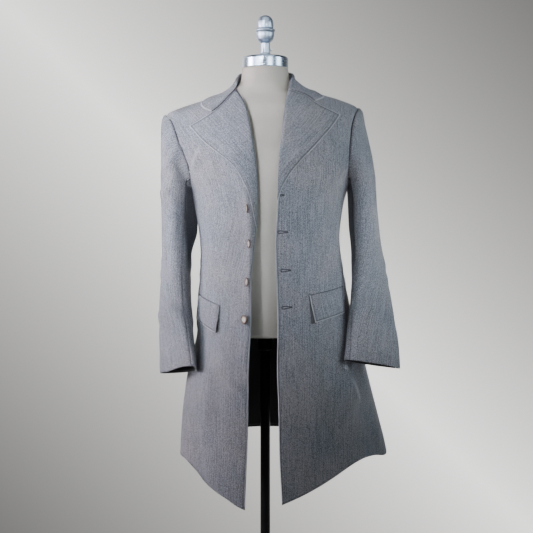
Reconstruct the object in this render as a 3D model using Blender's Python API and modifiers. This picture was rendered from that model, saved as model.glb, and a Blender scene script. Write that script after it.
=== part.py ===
"""A long frock coat worn on a limbless dress form with a metal cap, a pole and a round base.

Metres, +Z up, -Y is the front. The origin is on the floor, at the middle of the base.
Right and left are the wearer's: the right side is at -X and the left side at +X.
The cloth of the body lies on one surface, which is a ring at each height. An angle of 0 on a ring
is the middle of the front, 90 is the side and 180 is the middle of the back.
"""
import math

import bmesh
import bpy
from mathutils import Matrix, Vector

COLLECTION = "frock_coat_on_dress_form"
RIGHT, LEFT = -1, 1

# Cloth
CLOTH = 0.0018          # wall of the body and sleeves
TURNED_CLOTH = 0.0016   # wall of lapels, collar and flaps
LINING = 0.0012
SEAM = 0.00025          # half of the gap between two pieces at a seam
SLEEVE_SEAM = 0.0005    # half of the gap along a sleeve's seams, which cross its tighter curves
HEAD_SEAM = 0.0010      # the same on the sleeve's head
NAPE_EASE = 0.0005      # more of a seam's gap at the nape
ARMHOLE_GAP = 0.0009    # gap between the armhole's edge and the sleeve
LAY = 0.0006            # gap between a piece and the panel that it lies on
NECK_LIFT = 0.0010      # more of that gap under the lapels and collar by the neck
RIDGE_LIFT = 0.0006     # and under a lapel's foot
ROLL_INSET = 0.0015     # how far a front's edge stays back from the roll of its lapel

# Heights
SIDE_HEM = {-1: 0.594, 1: 0.587}
BACK_HEM = 0.607
ARMPIT = 1.252
NAPE = 1.514
BREAK = 1.225           # where the lapels start
NECK = {RIGHT: 1.510, LEFT: 1.520}
SHOULDER = {RIGHT: 1.436, LEFT: 1.452}


def table(names, *rows):
    """Rows of a table as dictionaries, under the column names."""
    keys = names.split()
    return [dict(zip(keys, row)) for row in rows]


# Rings of the coat's outer surface: half widths to each side, depths to front and back, squareness
BODY = table(
    "z      right  left   front  back   square",
    (0.460, 0.214, 0.322, 0.215, 0.190, 2.1),
    (0.590, 0.211, 0.305, 0.204, 0.182, 2.1),
    (0.670, 0.207, 0.286, 0.195, 0.172, 2.1),
    (0.740, 0.201, 0.269, 0.187, 0.163, 2.15),
    (0.810, 0.192, 0.253, 0.178, 0.152, 2.2),
    (0.900, 0.172, 0.228, 0.165, 0.138, 2.25),
    (0.980, 0.170, 0.209, 0.155, 0.127, 2.3),
    (1.070, 0.161, 0.192, 0.144, 0.116, 2.3),
    (1.130, 0.163, 0.185, 0.141, 0.112, 2.3),
    (1.210, 0.175, 0.194, 0.145, 0.120, 2.3),
    (1.252, 0.181, 0.203, 0.147, 0.127, 2.3),
    (1.290, 0.196, 0.215, 0.146, 0.131, 2.3),
    (1.340, 0.224, 0.231, 0.138, 0.131, 2.3),
    (1.386, 0.241, 0.234, 0.122, 0.126, 2.3),
    (1.420, 0.2455, 0.2345, 0.103, 0.115, 2.3),
    (1.436, 0.243, 0.2325, 0.093, 0.108, 2.3),
    (1.452, 0.207, 0.226, 0.083, 0.100, 2.3),
    (1.470, 0.150, 0.184, 0.075, 0.091, 2.3),
    (1.485, 0.104, 0.136, 0.069, 0.084, 2.3),
    (1.497, 0.083, 0.100, 0.065, 0.079, 2.3),
    (1.510, 0.072, 0.079, 0.062, 0.075, 2.3),
    (1.520, 0.068, 0.069, 0.060, 0.072, 2.3),
    (1.550, 0.066, 0.066, 0.058, 0.070, 2.3),
)

# The edge of the armhole, from armpit to shoulder: height as a share, angles on the ring
ARMHOLE = table(
    "along height front back",
    (0.00, 0.00, 90.0, 90.0),
    (0.12, 0.055, 80.0, 100.0),
    (0.27, 0.17, 69.5, 111.5),
    (0.50, 0.45, 59.5, 121.5),
    (0.75, 0.73, 61.5, 119.5),
    (0.90, 0.92, 70.0, 111.0),
    (1.00, 1.00, 90.0, 90.0),
)

# Front edge, then roll line: distance from the middle at each height
FRONT_EDGE = {
    RIGHT: table(
        "z      x",
        (0.503, 0.047),
        (0.697, 0.040),
        (0.826, 0.038),
        (0.945, 0.0325),
        (1.022, 0.032),
        (1.095, 0.027),
        (1.180, 0.019),
        (1.257, 0.0205),
        (1.299, 0.023),
        (1.348, 0.029),
        (1.391, 0.036),
        (1.430, 0.045),
        (1.460, 0.053),
        (1.494, 0.069),
        (1.510, 0.072),
    ),
    LEFT: table(
        "z      x",
        (0.516, 0.039),
        (0.632, 0.033),
        (0.741, 0.031),
        (0.837, 0.028),
        (0.933, 0.0295),
        (1.001, 0.028),
        (1.126, 0.024),
        (1.180, 0.027),
        (1.266, 0.030),
        (1.320, 0.034),
        (1.365, 0.039),
        (1.421, 0.0455),
        (1.470, 0.052),
        (1.495, 0.057),
        (1.520, 0.069),
    ),
}

# Hem of each front, from the corner to the side: height at each distance from the middle
FRONT_HEM = {
    RIGHT: table(
        "x      z",
        (0.047, 0.503),
        (0.061, 0.508),
        (0.089, 0.524),
        (0.117, 0.538),
        (0.145, 0.554),
        (0.175, 0.575),
        (0.198, 0.591),
        (0.211, 0.594),
    ),
    LEFT: table(
        "x      z",
        (0.039, 0.516),
        (0.072, 0.529),
        (0.126, 0.553),
        (0.154, 0.568),
        (0.182, 0.584),
        (0.210, 0.600),
        (0.234, 0.606),
        (0.265, 0.604),
        (0.305, 0.587),
    ),
}

# Soft folds of the skirt: middle and reach on the ring, depth at the hem, height where each fades
FOLDS = {
    RIGHT: table(
        "angle reach depth top",
        (52.0, 9.0, -0.006, 0.90),
        (78.0, 8.0, 0.006, 0.86),
        (104.0, 10.0, -0.008, 0.92),
        (128.0, 9.0, 0.008, 0.94),
        (152.0, 10.0, -0.007, 0.90),
    ),
    LEFT: table(
        "angle reach depth top",
        (44.0, 9.0, 0.005, 0.88),
        (66.0, 8.0, -0.007, 0.86),
        (100.0, 10.0, 0.007, 0.92),
        (126.0, 10.0, -0.009, 0.94),
        (150.0, 9.0, 0.007, 0.90),
    ),
}

# The rolled edge of the right front: how far its ridge is from the middle, how far the ridge stands
# out and how far the strip beyond it turns in
ROLL_REACH = 0.018
ROLL = table(
    "z      ridge   out    inward",
    (0.600, 0.0400, 0.000, 0.000),
    (0.900, 0.0340, 0.005, 0.000),
    (1.020, 0.0315, 0.009, 0.000),
    (1.060, 0.0322, 0.010, 0.005),
    (1.125, 0.0330, 0.010, 0.012),
    (1.215, 0.0346, 0.010, 0.022),
    (1.262, 0.0480, 0.007, 0.021),
    (1.300, 0.0680, 0.004, 0.013),
    (1.370, 0.1050, 0.000, 0.000),
)

# Lapels: edges as distance from the middle and height
LAPEL_FORE_EDGE = {
    RIGHT: table(
        "x      z",
        (0.0225, 1.160),
        (0.0270, 1.180),
        (0.0320, 1.202),
        (0.0350, 1.220),
        (0.0385, 1.238),
        (0.048, 1.261),
        (0.060, 1.286),
        (0.081, 1.313),
        (0.113, 1.338),
        (0.146, 1.364),
        (0.175, 1.395),
        (0.181, 1.4015),
    ),
    LEFT: table(
        "x      z",
        (0.0318, 1.228),
        (0.0334, 1.236),
        (0.0360, 1.246),
        (0.044, 1.262),
        (0.059, 1.287),
        (0.085, 1.319),
        (0.112, 1.346),
        (0.138, 1.375),
        (0.161, 1.401),
        (0.180, 1.429),
    ),
}
LAPEL_TOP = {
    RIGHT: table(
        "x      z",
        (0.070, 1.492),
        (0.083, 1.478),
        (0.112, 1.446),
        (0.151, 1.418),
        (0.181, 1.4015),
    ),
    LEFT: table(
        "x      z",
        (0.0575, 1.493),
        (0.077, 1.485),
        (0.106, 1.473),
        (0.123, 1.4575),
        (0.180, 1.429),
    ),
}
# Pocket flaps: front top, back top, back bottom, front bottom
FLAPS = {
    RIGHT: ((0.108, 0.976), (0.161, 0.995), (0.166, 0.934), (0.116, 0.910)),
    LEFT: ((0.104, 1.002), (0.189, 1.016), (0.190, 0.953), (0.117, 0.936)),
}

# Collar: its fold and its outer edge as angle and height, round to the middle of the back. The
# fold starts where the gorge seam ends, and each gorge step meets a column of the lapel.
COLLAR_STEPS, GORGE_STEPS, LAPEL_COLUMNS, LAPEL_ROWS = 16, 3, 6, 14
COLLAR_FOLD = {
    RIGHT: table(
        "along angle z",
        (0.32, 66.0, 1.5115),
        (0.48, 90.0, 1.5250),
        (0.70, 126.0, 1.5400),
        (1.00, 180.0, 1.5490),
    ),
    LEFT: table(
        "along angle z",
        (0.32, 60.0, 1.5190),
        (0.48, 90.0, 1.5320),
        (0.70, 126.0, 1.5430),
        (1.00, 180.0, 1.5490),
    ),
}
COLLAR_EDGE = {
    RIGHT: table(
        "along angle z",
        (0.00, 56.5, 1.463),
        (0.10, 68.0, 1.471),
        (0.19, 77.0, 1.478),
        (0.32, 87.0, 1.484),
        (0.48, 102.0, 1.489),
        (0.70, 130.0, 1.492),
        (1.00, 180.0, 1.497),
    ),
    LEFT: table(
        "along angle z",
        (0.00, 50.0, 1.472),
        (0.10, 60.0, 1.482),
        (0.19, 69.0, 1.487),
        (0.32, 81.0, 1.491),
        (0.48, 98.0, 1.493),
        (0.70, 130.0, 1.495),
        (1.00, 180.0, 1.497),
    ),
}

# Sleeves below the armhole: middle of each ring, half sizes of its flattened oval, how far the oval
# is turned from front-to-back towards across, and the slopes of the ring to the front and outwards
SLEEVES = {
    RIGHT: table(
        "z      x      y       long   thin   turn  pitch  lean",
        (0.806, 0.212, -0.078, 0.068, 0.020, 45.0, 0.27, 0.00),
        (0.840, 0.215, -0.068, 0.067, 0.022, 44.0, 0.27, 0.00),
        (0.890, 0.219, -0.053, 0.064, 0.027, 40.0, 0.27, 0.00),
        (0.950, 0.224, -0.033, 0.062, 0.034, 30.0, 0.24, 0.00),
        (1.010, 0.2245, -0.014, 0.064, 0.038, 15.0, 0.16, 0.00),
        (1.080, 0.222, -0.005, 0.068, 0.037, 4.0, 0.06, 0.00),
        (1.150, 0.223, -0.002, 0.072, 0.036, 0.0, 0.00, 0.00),
        (1.215, 0.222, 0.000, 0.074, 0.037, 0.0, 0.00, 0.00),
    ),
    LEFT: table(
        "z      x      y       long   thin   turn  pitch  lean",
        (0.832, 0.2585, -0.117, 0.0715, 0.019, 77.0, 0.33, -0.12),
        (0.860, 0.260, -0.108, 0.070, 0.021, 75.0, 0.34, -0.12),
        (0.900, 0.2615, -0.088, 0.068, 0.025, 71.0, 0.36, -0.10),
        (0.950, 0.262, -0.060, 0.067, 0.030, 57.0, 0.36, -0.06),
        (1.010, 0.2605, -0.028, 0.068, 0.036, 38.0, 0.28, -0.03),
        (1.080, 0.2555, -0.008, 0.070, 0.0385, 17.0, 0.10, 0.00),
        (1.150, 0.247, -0.002, 0.073, 0.0385, 4.0, 0.02, 0.00),
        (1.215, 0.2425, 0.000, 0.074, 0.036, 0.0, 0.00, 0.00),
    ),
}
# Seams of a sleeve as angles on its ring, where 0 faces out and 90 the front. The forearm seam
# swings towards the front on its way to the cuff.
FOREARM_SEAM, FOREARM_CUFF = 140.0, 60.0
HINDARM_SEAM = 240.0
SEAM_COLUMN = 4.0       # width of the narrow columns along the forearm seam

# Buttons on the right front: distance from the middle, height, how far each is turned to the side
# and how far its middle then stands off the cloth
BUTTONS = table(
    "x      z      turn  lift",
    (0.0380, 1.207, 60.0, 0.0084),
    (0.0352, 1.124, 54.0, 0.0073),
    (0.0392, 1.034, 40.0, 0.0063),
    (0.0468, 0.946, 20.0, 0.0040),
)
BUTTON_RADIUS = 0.0115
BUTTON_HEIGHT = 0.0038

# Dress form
FORM_FOOT = 0.895
FORM_NECK = 1.5485
FORM = table(
    "z      width  front  back",
    (0.895, 0.148, 0.118, 0.102),
    (0.950, 0.152, 0.122, 0.104),
    (1.020, 0.146, 0.118, 0.098),
    (1.100, 0.136, 0.112, 0.090),
    (1.180, 0.143, 0.111, 0.094),
    (1.270, 0.156, 0.118, 0.104),
    (1.340, 0.168, 0.115, 0.108),
    (1.400, 0.182, 0.080, 0.086),
    (1.436, 0.186, 0.058, 0.066),
    (1.462, 0.182, 0.050, 0.058),
    (1.480, 0.150, 0.050, 0.056),
    (1.494, 0.081, 0.052, 0.056),
    (1.508, 0.066, 0.055, 0.056),
    (1.522, 0.059, 0.056, 0.056),
    (1.549, 0.0565, 0.0565, 0.0565),
)
FORM_REST = 0.0028      # how far the form's shoulders lie below the coat's outer surface
CAP_RADIUS = 0.0568
CAP_TOP = 1.578
POLE_RADIUS = 0.0125
BASE_RADIUS = 0.190


def smooth(rows, key, value):
    """A curve through the rows that never passes beyond them."""
    xs = [row[key] for row in rows]
    ys = [row[value] for row in rows]
    steps = [(ys[i + 1] - ys[i]) / (xs[i + 1] - xs[i]) for i in range(len(xs) - 1)]
    slopes = [steps[0]]
    slopes += [2 * a * b / (a + b) if a * b > 0 else 0.0 for a, b in zip(steps, steps[1:])]
    slopes.append(steps[-1])

    def at(x):
        x = min(max(x, xs[0]), xs[-1])
        i = 0
        while i < len(steps) - 1 and x > xs[i + 1]:
            i += 1
        run = xs[i + 1] - xs[i]
        t = (x - xs[i]) / run
        rise = steps[i] * run
        start, end = slopes[i] * run, slopes[i + 1] * run
        return ys[i] + t * start + t * t * (3 * rise - 2 * start - end) + t ** 3 * (start + end - 2 * rise)

    return at


def fade(value, start, end):
    """A soft step from 0 at the start to 1 at the end."""
    t = min(max((value - start) / (end - start), 0.0), 1.0)
    return t * t * (3 - 2 * t)


def mix(a, b, t):
    return a + (b - a) * t


# The coat's surface

body = {name: smooth(BODY, "z", name) for name in ("right", "left", "front", "back", "square")}
body[RIGHT], body[LEFT] = body["right"], body["left"]


def ring_point(width, depth, square, side, angle, z):
    """A point of a squared oval, by its angle from the middle of the front."""
    turn = math.radians(angle)
    across = max(math.sin(turn), 0.0) ** (2 / square)
    along = abs(math.cos(turn)) ** (2 / square)
    return Vector((side * width * across, (depth if angle > 90 else -depth) * along, z))


roll = {name: smooth(ROLL, "z", name) for name in ("ridge", "out", "inward")}
front_edge = {side: smooth(rows, "z", "x") for side, rows in FRONT_EDGE.items()}


def edge_roll(x, z):
    """How far the right front moves to the front or, beyond its ridge, inwards."""
    beyond = roll["ridge"](z) - x
    if beyond <= 0:
        return roll["out"](z) * math.exp(-(beyond / ROLL_REACH) ** 2)
    strip = max(roll["ridge"](z) - front_edge[RIGHT](z), 0.004)
    return roll["out"](z) - roll["inward"](z) * (beyond / strip) ** 1.3


def body_point(side, angle, z):
    depth = body["front"](z) if angle <= 90 else body["back"](z)
    point = ring_point(body[side](z), depth, body["square"](z), side, angle, z)
    if side == RIGHT and angle < 90:
        point.y -= edge_roll(abs(point.x), z)
    swell = sum(
        fold["depth"] * math.exp(-((angle - fold["angle"]) / fold["reach"]) ** 2)
        * fade(z, fold["top"], SIDE_HEM[side])
        for fold in FOLDS[side]
    )
    turn = math.radians(angle)
    return point + Vector((side * math.sin(turn), -math.cos(turn), 0)) * swell


def normal_of(surface, u, v, du, dv, centre):
    """Unit normal of a surface, pointing away from the centre line."""
    across = surface(u + du, v) - surface(u - du, v)
    up = surface(u, v + dv) - surface(u, v - dv)
    normal = across.cross(up).normalized()
    point = surface(u, v)
    away = Vector((point.x - centre.x, point.y - centre.y, point.z - centre.z))
    return normal if normal.dot(away) > 0 else -normal


def on_body(side, angle, z, out=0.0):
    """A point of the coat, moved out from its surface."""
    point = body_point(side, angle, z)
    if out:
        near = min(max(angle, 0.6), 179.4)
        heart = Vector((0, 0, z - 0.08))
        point = point + normal_of(lambda a, h: body_point(side, a, h), near, z, 0.5, 0.002, heart) * out
    return point


def angle_at(side, x, z):
    """The angle where the front's surface is this far from the middle."""
    share = min(abs(x) / body[side](z), 1.0)
    return math.degrees(math.asin(share ** (body["square"](z) / 2)))


def height_at(side, x):
    """The height of the shoulder's ridge this far from the middle."""
    low, high = SHOULDER[side], 1.55
    for _ in range(40):
        middle = (low + high) / 2
        low, high = (middle, high) if body[side](middle) > x else (low, middle)
    return low


def neck_height(side, angle):
    """The height of the neckline at an angle, from the roll line round to the nape."""
    if angle >= 90:
        return mix(NECK[side], NAPE, fade(angle, 90, 180))
    edge = smooth(FRONT_EDGE[side], "z", "x")
    low, high = NECK[side] - 0.04, NECK[side]
    for _ in range(40):
        middle = (low + high) / 2
        low, high = (middle, high) if angle_at(side, edge(middle), middle) < angle else (low, middle)
    return low


def even(count):
    return [i / count for i in range(count + 1)]


def patch(bottom, top, inner, outer, across, levels):
    """Rows of (angle, height) pairs, filled in between four edges."""
    rows = []
    for v in levels:
        row = []
        for u in across:
            row.append(tuple(
                mix(b, t, v) + mix(n, o, u)
                - mix(mix(b0, b1, u), mix(t0, t1, u), v)
                for b, t, n, o, b0, b1, t0, t1 in zip(
                    bottom(u), top(u), inner(v), outer(v), bottom(0), bottom(1), top(0), top(1))
            ))
        rows.append(row)
    return rows


# Meshes

def collection():
    made = bpy.data.collections.new(COLLECTION)
    bpy.context.scene.collection.children.link(made)
    return made


def material(name, colour, roughness, metallic=0.0):
    made = bpy.data.materials.new(name)
    made.use_nodes = True
    shader = made.node_tree.nodes["Principled BSDF"]
    shader.inputs["Base Color"].default_value = (*colour, 1)
    shader.inputs["Roughness"].default_value = roughness
    shader.inputs["Metallic"].default_value = metallic
    return made


def add(name, mesh, finish):
    thing = bpy.data.objects.new(name, mesh)
    thing.data.materials.append(material(name, *finish))
    bpy.data.collections[COLLECTION].objects.link(thing)
    return thing


def sheet(name, rows, thickness, finish, closed=False):
    """A wall on a grid of points, which are its outer side; rows run across and then up."""
    mesh = bmesh.new()
    grid = [[mesh.verts.new(point) for point in row] for row in rows]
    for low, high in zip(grid, grid[1:]):
        count = len(low) if closed else len(low) - 1
        for i in range(count):
            k = (i + 1) % len(low)
            mesh.faces.new((low[i], low[k], high[k], high[i]))
    data = bpy.data.meshes.new(name)
    mesh.to_mesh(data)
    mesh.free()
    thing = add(name, data, finish)
    wall = thing.modifiers.new("Wall", "SOLIDIFY")
    wall.thickness = thickness
    wall.offset = -1
    thing.data.shade_smooth()
    return thing


def facing(side, rows):
    """Rows in the order that makes the faces look outwards."""
    return rows if side == LEFT else [row[::-1] for row in rows]


def turned(name, profile, finish, steps=28):
    """A solid of revolution from (radius, height) points, which run from top to bottom."""
    mesh = bpy.data.meshes.new(name)
    points = [(radius, 0, height) for radius, height in profile]
    mesh.from_pydata(points, [(i, i + 1) for i in range(len(points) - 1)], [])
    thing = add(name, mesh, finish)
    screw = thing.modifiers.new("Turn", "SCREW")
    screw.steps = screw.render_steps = steps
    screw.use_merge_vertices = True
    screw.merge_threshold = 0.00005
    screw.use_smooth_shade = True
    return thing


# Cloth pieces

SUIT = ((0.17, 0.17, 0.18), 0.9)
BLACK_LINING = ((0.006, 0.006, 0.007), 0.5)
BODY_ROWS, YOKE_ROWS, NECK_ROWS = 18, 9, 3
BACK_COLUMNS = 10
# Columns of a front, closer along its edge
FRONT_SHARES = (0, 0.025, 0.055, 0.09, 0.14, 0.21, 0.30, 0.40, 0.51, 0.62, 0.73, 0.83, 0.92, 1.0)
# Levels of a panel's rows. The last are closer, for the turn of the neck and a flat shoulder seam.
NECK_LEVEL, SEAM_LEVEL = 0.9830, 0.9945
LEVELS = [j / (BODY_ROWS + YOKE_ROWS) for j in range(BODY_ROWS + YOKE_ROWS)]
LEVELS += [NECK_LEVEL, SEAM_LEVEL, 1.0]


def side_edge(side, face):
    """The side seam and then the armhole, as angle and height."""
    armhole_angle = smooth(ARMHOLE, "along", face)
    armhole_height = smooth(ARMHOLE, "along", "height")
    share = BODY_ROWS / (BODY_ROWS + YOKE_ROWS)

    def at(v):
        if v <= share:
            return 90.0, mix(SIDE_HEM[side], ARMPIT, v / share)
        along = (v - share) / (1 - share)
        return armhole_angle(along), mix(ARMPIT, SHOULDER[side], armhole_height(along))

    return at


def shoulder_seam(side):
    """The seam on the ridge of the shoulder, from neck to armhole, as angle and height."""

    def at(u):
        x = mix(body[side](NECK[side]), body[side](SHOULDER[side]), u)
        return 90.0, height_at(side, x) if 0 < u < 1 else (SHOULDER if u else NECK)[side]

    return at


def front_rows(side):
    edge = smooth(FRONT_EDGE[side], "z", "x")
    hem = smooth(FRONT_HEM[side], "x", "z")
    share = BODY_ROWS / (BODY_ROWS + YOKE_ROWS)
    corner = FRONT_HEM[side][0]
    end = FRONT_HEM[side][-1]

    def bottom(u):
        x = mix(corner["x"], end["x"], 1 - (1 - u) ** 1.35)
        z = hem(x)
        return (angle_at(side, x, z), z) if u < 1 else (90.0, SIDE_HEM[side])

    def inner(v):
        if v <= share:
            z = mix(corner["z"], ARMPIT, v / share)
        else:
            z = mix(ARMPIT, NECK[side], (v - share) / (1 - share))
        return angle_at(side, edge(z) + ROLL_INSET * fade(z, BREAK - 0.03, BREAK + 0.03), z), z

    return patch(bottom, shoulder_seam(side), inner, side_edge(side, "front"), FRONT_SHARES, LEVELS)


def front(side, name):
    rows = []
    for row in front_rows(side):
        points = [on_body(side, angle, z) for angle, z in row]
        points[-1].y -= SEAM
        rows.append(points)
    for point in rows[-1]:
        point.y = min(point.y, -SEAM)
    return sheet(name, facing(side, rows), CLOTH, SUIT)


def back_rows(side):
    share = BODY_ROWS / (BODY_ROWS + YOKE_ROWS)

    def bottom(u):
        return mix(180.0, 90.0, u), mix(BACK_HEM, SIDE_HEM[side], fade(u, 0, 1))

    nape_share = (BODY_ROWS + YOKE_ROWS - NECK_ROWS) / (BODY_ROWS + YOKE_ROWS)

    def inner(v):
        if v <= share:
            return 180.0, mix(BACK_HEM, ARMPIT, v / share)
        if v <= nape_share:
            return 180.0, mix(ARMPIT, NAPE, (v - share) / (nape_share - share))
        along = (v - nape_share) / (1 - nape_share)
        return mix(180.0, 90.0, along), mix(NAPE, NECK[side], fade(along, 0, 1))

    return patch(bottom, shoulder_seam(side), inner, side_edge(side, "back"), even(BACK_COLUMNS), LEVELS)


def back(side, name):
    rows = []
    for row in BACK_PAIRS[side]:
        points = [on_body(side, angle, z) for angle, z in row]
        points[-1].y += SEAM
        if row[0][0] > 179.99:
            points[0].x = side * (SEAM + NAPE_EASE * fade(row[0][1], NAPE - 0.05, NAPE))
        rows.append(points)
    for point in rows[-1]:
        point.y = max(point.y, SEAM)
    return sheet(name, facing(-side, rows), CLOTH, SUIT)


BACK_PAIRS = {side: back_rows(side) for side in (RIGHT, LEFT)}


def column_turn(side, column, z):
    """The angle on the ring, at a height, of the column that starts at this angle of the armhole."""
    forearm = mix(FOREARM_SEAM, FOREARM_CUFF, fade(z, SLEEVE_TOP, SLEEVES[side][0]["z"]))
    start = HINDARM_SEAM - 360
    lap = 360 * math.floor((column - start) / 360)
    if column - lap <= FOREARM_SEAM:
        return lap + mix(start, forearm, (column - lap - start) / (FOREARM_SEAM - start))
    share = (column - lap - FOREARM_SEAM) / (HINDARM_SEAM - FOREARM_SEAM)
    return lap + mix(forearm, HINDARM_SEAM, share)


def sleeve_ring(side, column, z):
    """A point of the hanging sleeve, by its column and the ring's middle height."""
    at = {name: curve(z) for name, curve in SLEEVE_CURVES[side].items()}
    turn = math.radians(column_turn(side, column, z))
    out = at["thin"] * math.cos(turn)
    fore = at["long"] * math.sin(turn)
    swing = math.radians(at["turn"])
    x = out * math.cos(swing) - fore * math.sin(swing)
    y = -(out * math.sin(swing) + fore * math.cos(swing))
    return Vector((side * (at["x"] + x), at["y"] + y, z - at["pitch"] * y + at["lean"] * x))


def sleeve_head(side, angle, out, down):
    """A point of the sleeve's head, which turns over the armhole and down into the sleeve."""
    angle = angle % 360
    face = "front" if angle < 180 else "back"
    along = 1 - angle / 180 if angle < 180 else angle / 180 - 1
    ring = smooth(ARMHOLE, "along", face)(along)
    z = mix(ARMPIT, SHOULDER[side], smooth(ARMHOLE, "along", "height")(along))
    start = body_point(side, ring, z) + Vector((side * ARMHOLE_GAP, 0, 0))
    end = sleeve_ring(side, angle, SLEEVE_TOP)
    point = start.lerp(end, out)
    point.z = mix(start.z, end.z, down)
    return point


SLEEVE_CURVES = {
    side: {name: smooth(rows, "z", name) for name in ("x", "y", "long", "thin", "turn", "pitch", "lean")}
    for side, rows in SLEEVES.items()
}
SLEEVE_TOP = SLEEVES[RIGHT][-1]["z"]
# How far each ring of the sleeve's head has moved outwards and down
HEAD = {
    RIGHT: table(
        "out   down",
        (0.00, 0.000),
        (0.22, -0.003),
        (0.46, 0.006),
        (0.71, 0.030),
        (0.92, 0.090),
        (1.00, 0.250),
        (1.00, 0.500),
        (1.00, 0.750),
    ),
    LEFT: table(
        "out   down",
        (0.00, 0.000),
        (0.10, -0.003),
        (0.20, 0.008),
        (0.28, 0.050),
        (0.37, 0.150),
        (0.54, 0.310),
        (0.78, 0.560),
        (0.92, 0.790),
    ),
}
# A sleeve has a column at each row of the armhole's edge
YOKE_SHARES = [(v * (BODY_ROWS + YOKE_ROWS) - BODY_ROWS) / YOKE_ROWS
               for v in LEVELS[BODY_ROWS:] if v != NECK_LEVEL]
HALF_TURN = [180 * (1 - share) for share in YOKE_SHARES]
BY_SEAM = [FOREARM_SEAM - SEAM_COLUMN, FOREARM_SEAM + SEAM_COLUMN]
SLEEVE_ANGLES = sorted({round(turn * way + 360 * lap, 3) for turn in HALF_TURN
                        for way in (1, -1) for lap in (0, 1)} | set(BY_SEAM))
SLEEVE_ROWS = 12
CUFF_LINING_ROWS = 3    # how far the lining shows up the sleeve


def sleeve(side, name, first, last):
    """One half of a sleeve, between two seams."""
    angles = [angle for angle in SLEEVE_ANGLES if first <= angle <= last]
    rows = [[sleeve_head(side, angle, **ring) for angle in angles] for ring in HEAD[side]]
    cuff = SLEEVES[side][0]["z"]
    for j in range(SLEEVE_ROWS + 1):
        z = mix(SLEEVE_TOP, cuff, j / SLEEVE_ROWS)
        rows.append([sleeve_ring(side, angle, z) for angle in angles])
    for j, row in enumerate(rows):
        gap = mix(HEAD_SEAM, SLEEVE_SEAM, fade(j, len(HEAD[side]) - 2, len(HEAD[side]) + 1))
        first_step, last_step = row[1] - row[0], row[-2] - row[-1]
        row[0] = row[0] + first_step.normalized() * gap
        row[-1] = row[-1] + last_step.normalized() * gap
    return sheet(name, facing(side, rows), CLOTH, SUIT)


def cuff_lining(side, name):
    """The black lining that shows inside a cuff."""
    cuff = SLEEVES[side][0]["z"]
    angles = [angle for angle in SLEEVE_ANGLES if 0 <= angle < 360]
    rows = []
    for j in range(SLEEVE_ROWS - CUFF_LINING_ROWS, SLEEVE_ROWS + 1):
        z = max(mix(SLEEVE_TOP, cuff, j / SLEEVE_ROWS), cuff + 0.002)
        middle = sum((sleeve_ring(side, angle, z) for angle in angles), Vector()) / len(angles)
        row = []
        for angle in angles:
            normal = normal_of(lambda a, h: sleeve_ring(side, a, h), angle, z, 1.0, 0.002, middle)
            row.append(sleeve_ring(side, angle, z) - normal * (CLOTH + LAY))
        rows.append(row)
    return sheet(name, facing(side, rows), LINING, BLACK_LINING, closed=True)


def lapel_lay(z):
    """How far a lapel's outer side lies above the front, more by the neck and over the ridge."""
    lift = NECK_LIFT * fade(z, 1.43, 1.47) + RIDGE_LIFT * fade(z, 1.28, 1.24)
    return LAY + TURNED_CLOTH + lift


def lapel(side, name):
    """The turned front above the break, from the roll line out to its point."""
    roll = smooth(FRONT_EDGE[side], "z", "x")
    fore = smooth(LAPEL_FORE_EDGE[side], "x", "z")
    tops = smooth(LAPEL_TOP[side], "x", "z")
    low, high = LAPEL_FORE_EDGE[side][0], LAPEL_FORE_EDGE[side][-1]
    crest = LAPEL_TOP[side][0]

    def bottom(u):
        return mix(roll(low["z"]), low["x"], u), low["z"]

    def top(u):
        x = mix(crest["x"], high["x"], u)
        return x, tops(x)

    def inner(v):
        z = mix(low["z"], crest["z"], v)
        return roll(z), z

    def outer(v):
        x = mix(low["x"], high["x"], v ** 1.25)
        return x, fore(x)

    rolls = ((-0.0028, 0.0014, 0.0), (-0.0014, 0.0032, 0.2), (0.0036, 0.0042, 0.5))
    rows = []
    levels = [1 - (1 - v) ** 1.25 for v in even(LAPEL_ROWS)]
    pairs_of_rows = patch(bottom, top, inner, outer, even(LAPEL_COLUMNS), levels)
    for j, pairs in enumerate(pairs_of_rows):
        (x, z), (next_x, next_z) = pairs[0], pairs[1]
        flat = lapel_lay(z) + 0.0002
        full = min(max((next_x - x - 0.0022) / 0.005, 0.0), 1.0) * fade(j, LAPEL_ROWS, LAPEL_ROWS - 3)
        row = []
        for beyond, out, share in rolls:
            inside = mix((next_x - x) * share, beyond, full)
            level = mix(z, next_z, inside / (next_x - x))
            row.append(on_body(side, angle_at(side, x + inside, level), level, mix(flat, out, full)))
        for i, (x, z) in enumerate(pairs[1:], 1):
            out = mix(mix(flat, 0.0040, full), flat, fade(i / LAPEL_COLUMNS, 0, 1))
            row.append(on_body(side, angle_at(side, x, z), z, out))
        rows.append(row)
    return sheet(name, facing(side, rows), TURNED_CLOTH, SUIT)


def collar_curves(side):
    """The collar's fold and edge, as functions of the way from the notch to the middle of the back."""
    tops = smooth(LAPEL_TOP[side], "x", "z")
    crest, point = LAPEL_TOP[side][0]["x"], LAPEL_TOP[side][-1]["x"]
    gorge = []
    for i in range(GORGE_STEPS + 1):
        x = mix(crest, point, (GORGE_STEPS - i) / LAPEL_COLUMNS)
        z = tops(x) + LAY
        gorge.append({"along": i / COLLAR_STEPS, "angle": angle_at(side, x, z), "z": z})
    fold, edge = gorge + COLLAR_FOLD[side], COLLAR_EDGE[side]
    return {
        "fold": smooth(fold, "along", "angle"),
        "fold_z": smooth(fold, "along", "z"),
        "edge": smooth(edge, "along", "angle"),
        "edge_z": smooth(edge, "along", "z"),
    }


COLLAR_COLUMNS = 5


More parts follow.
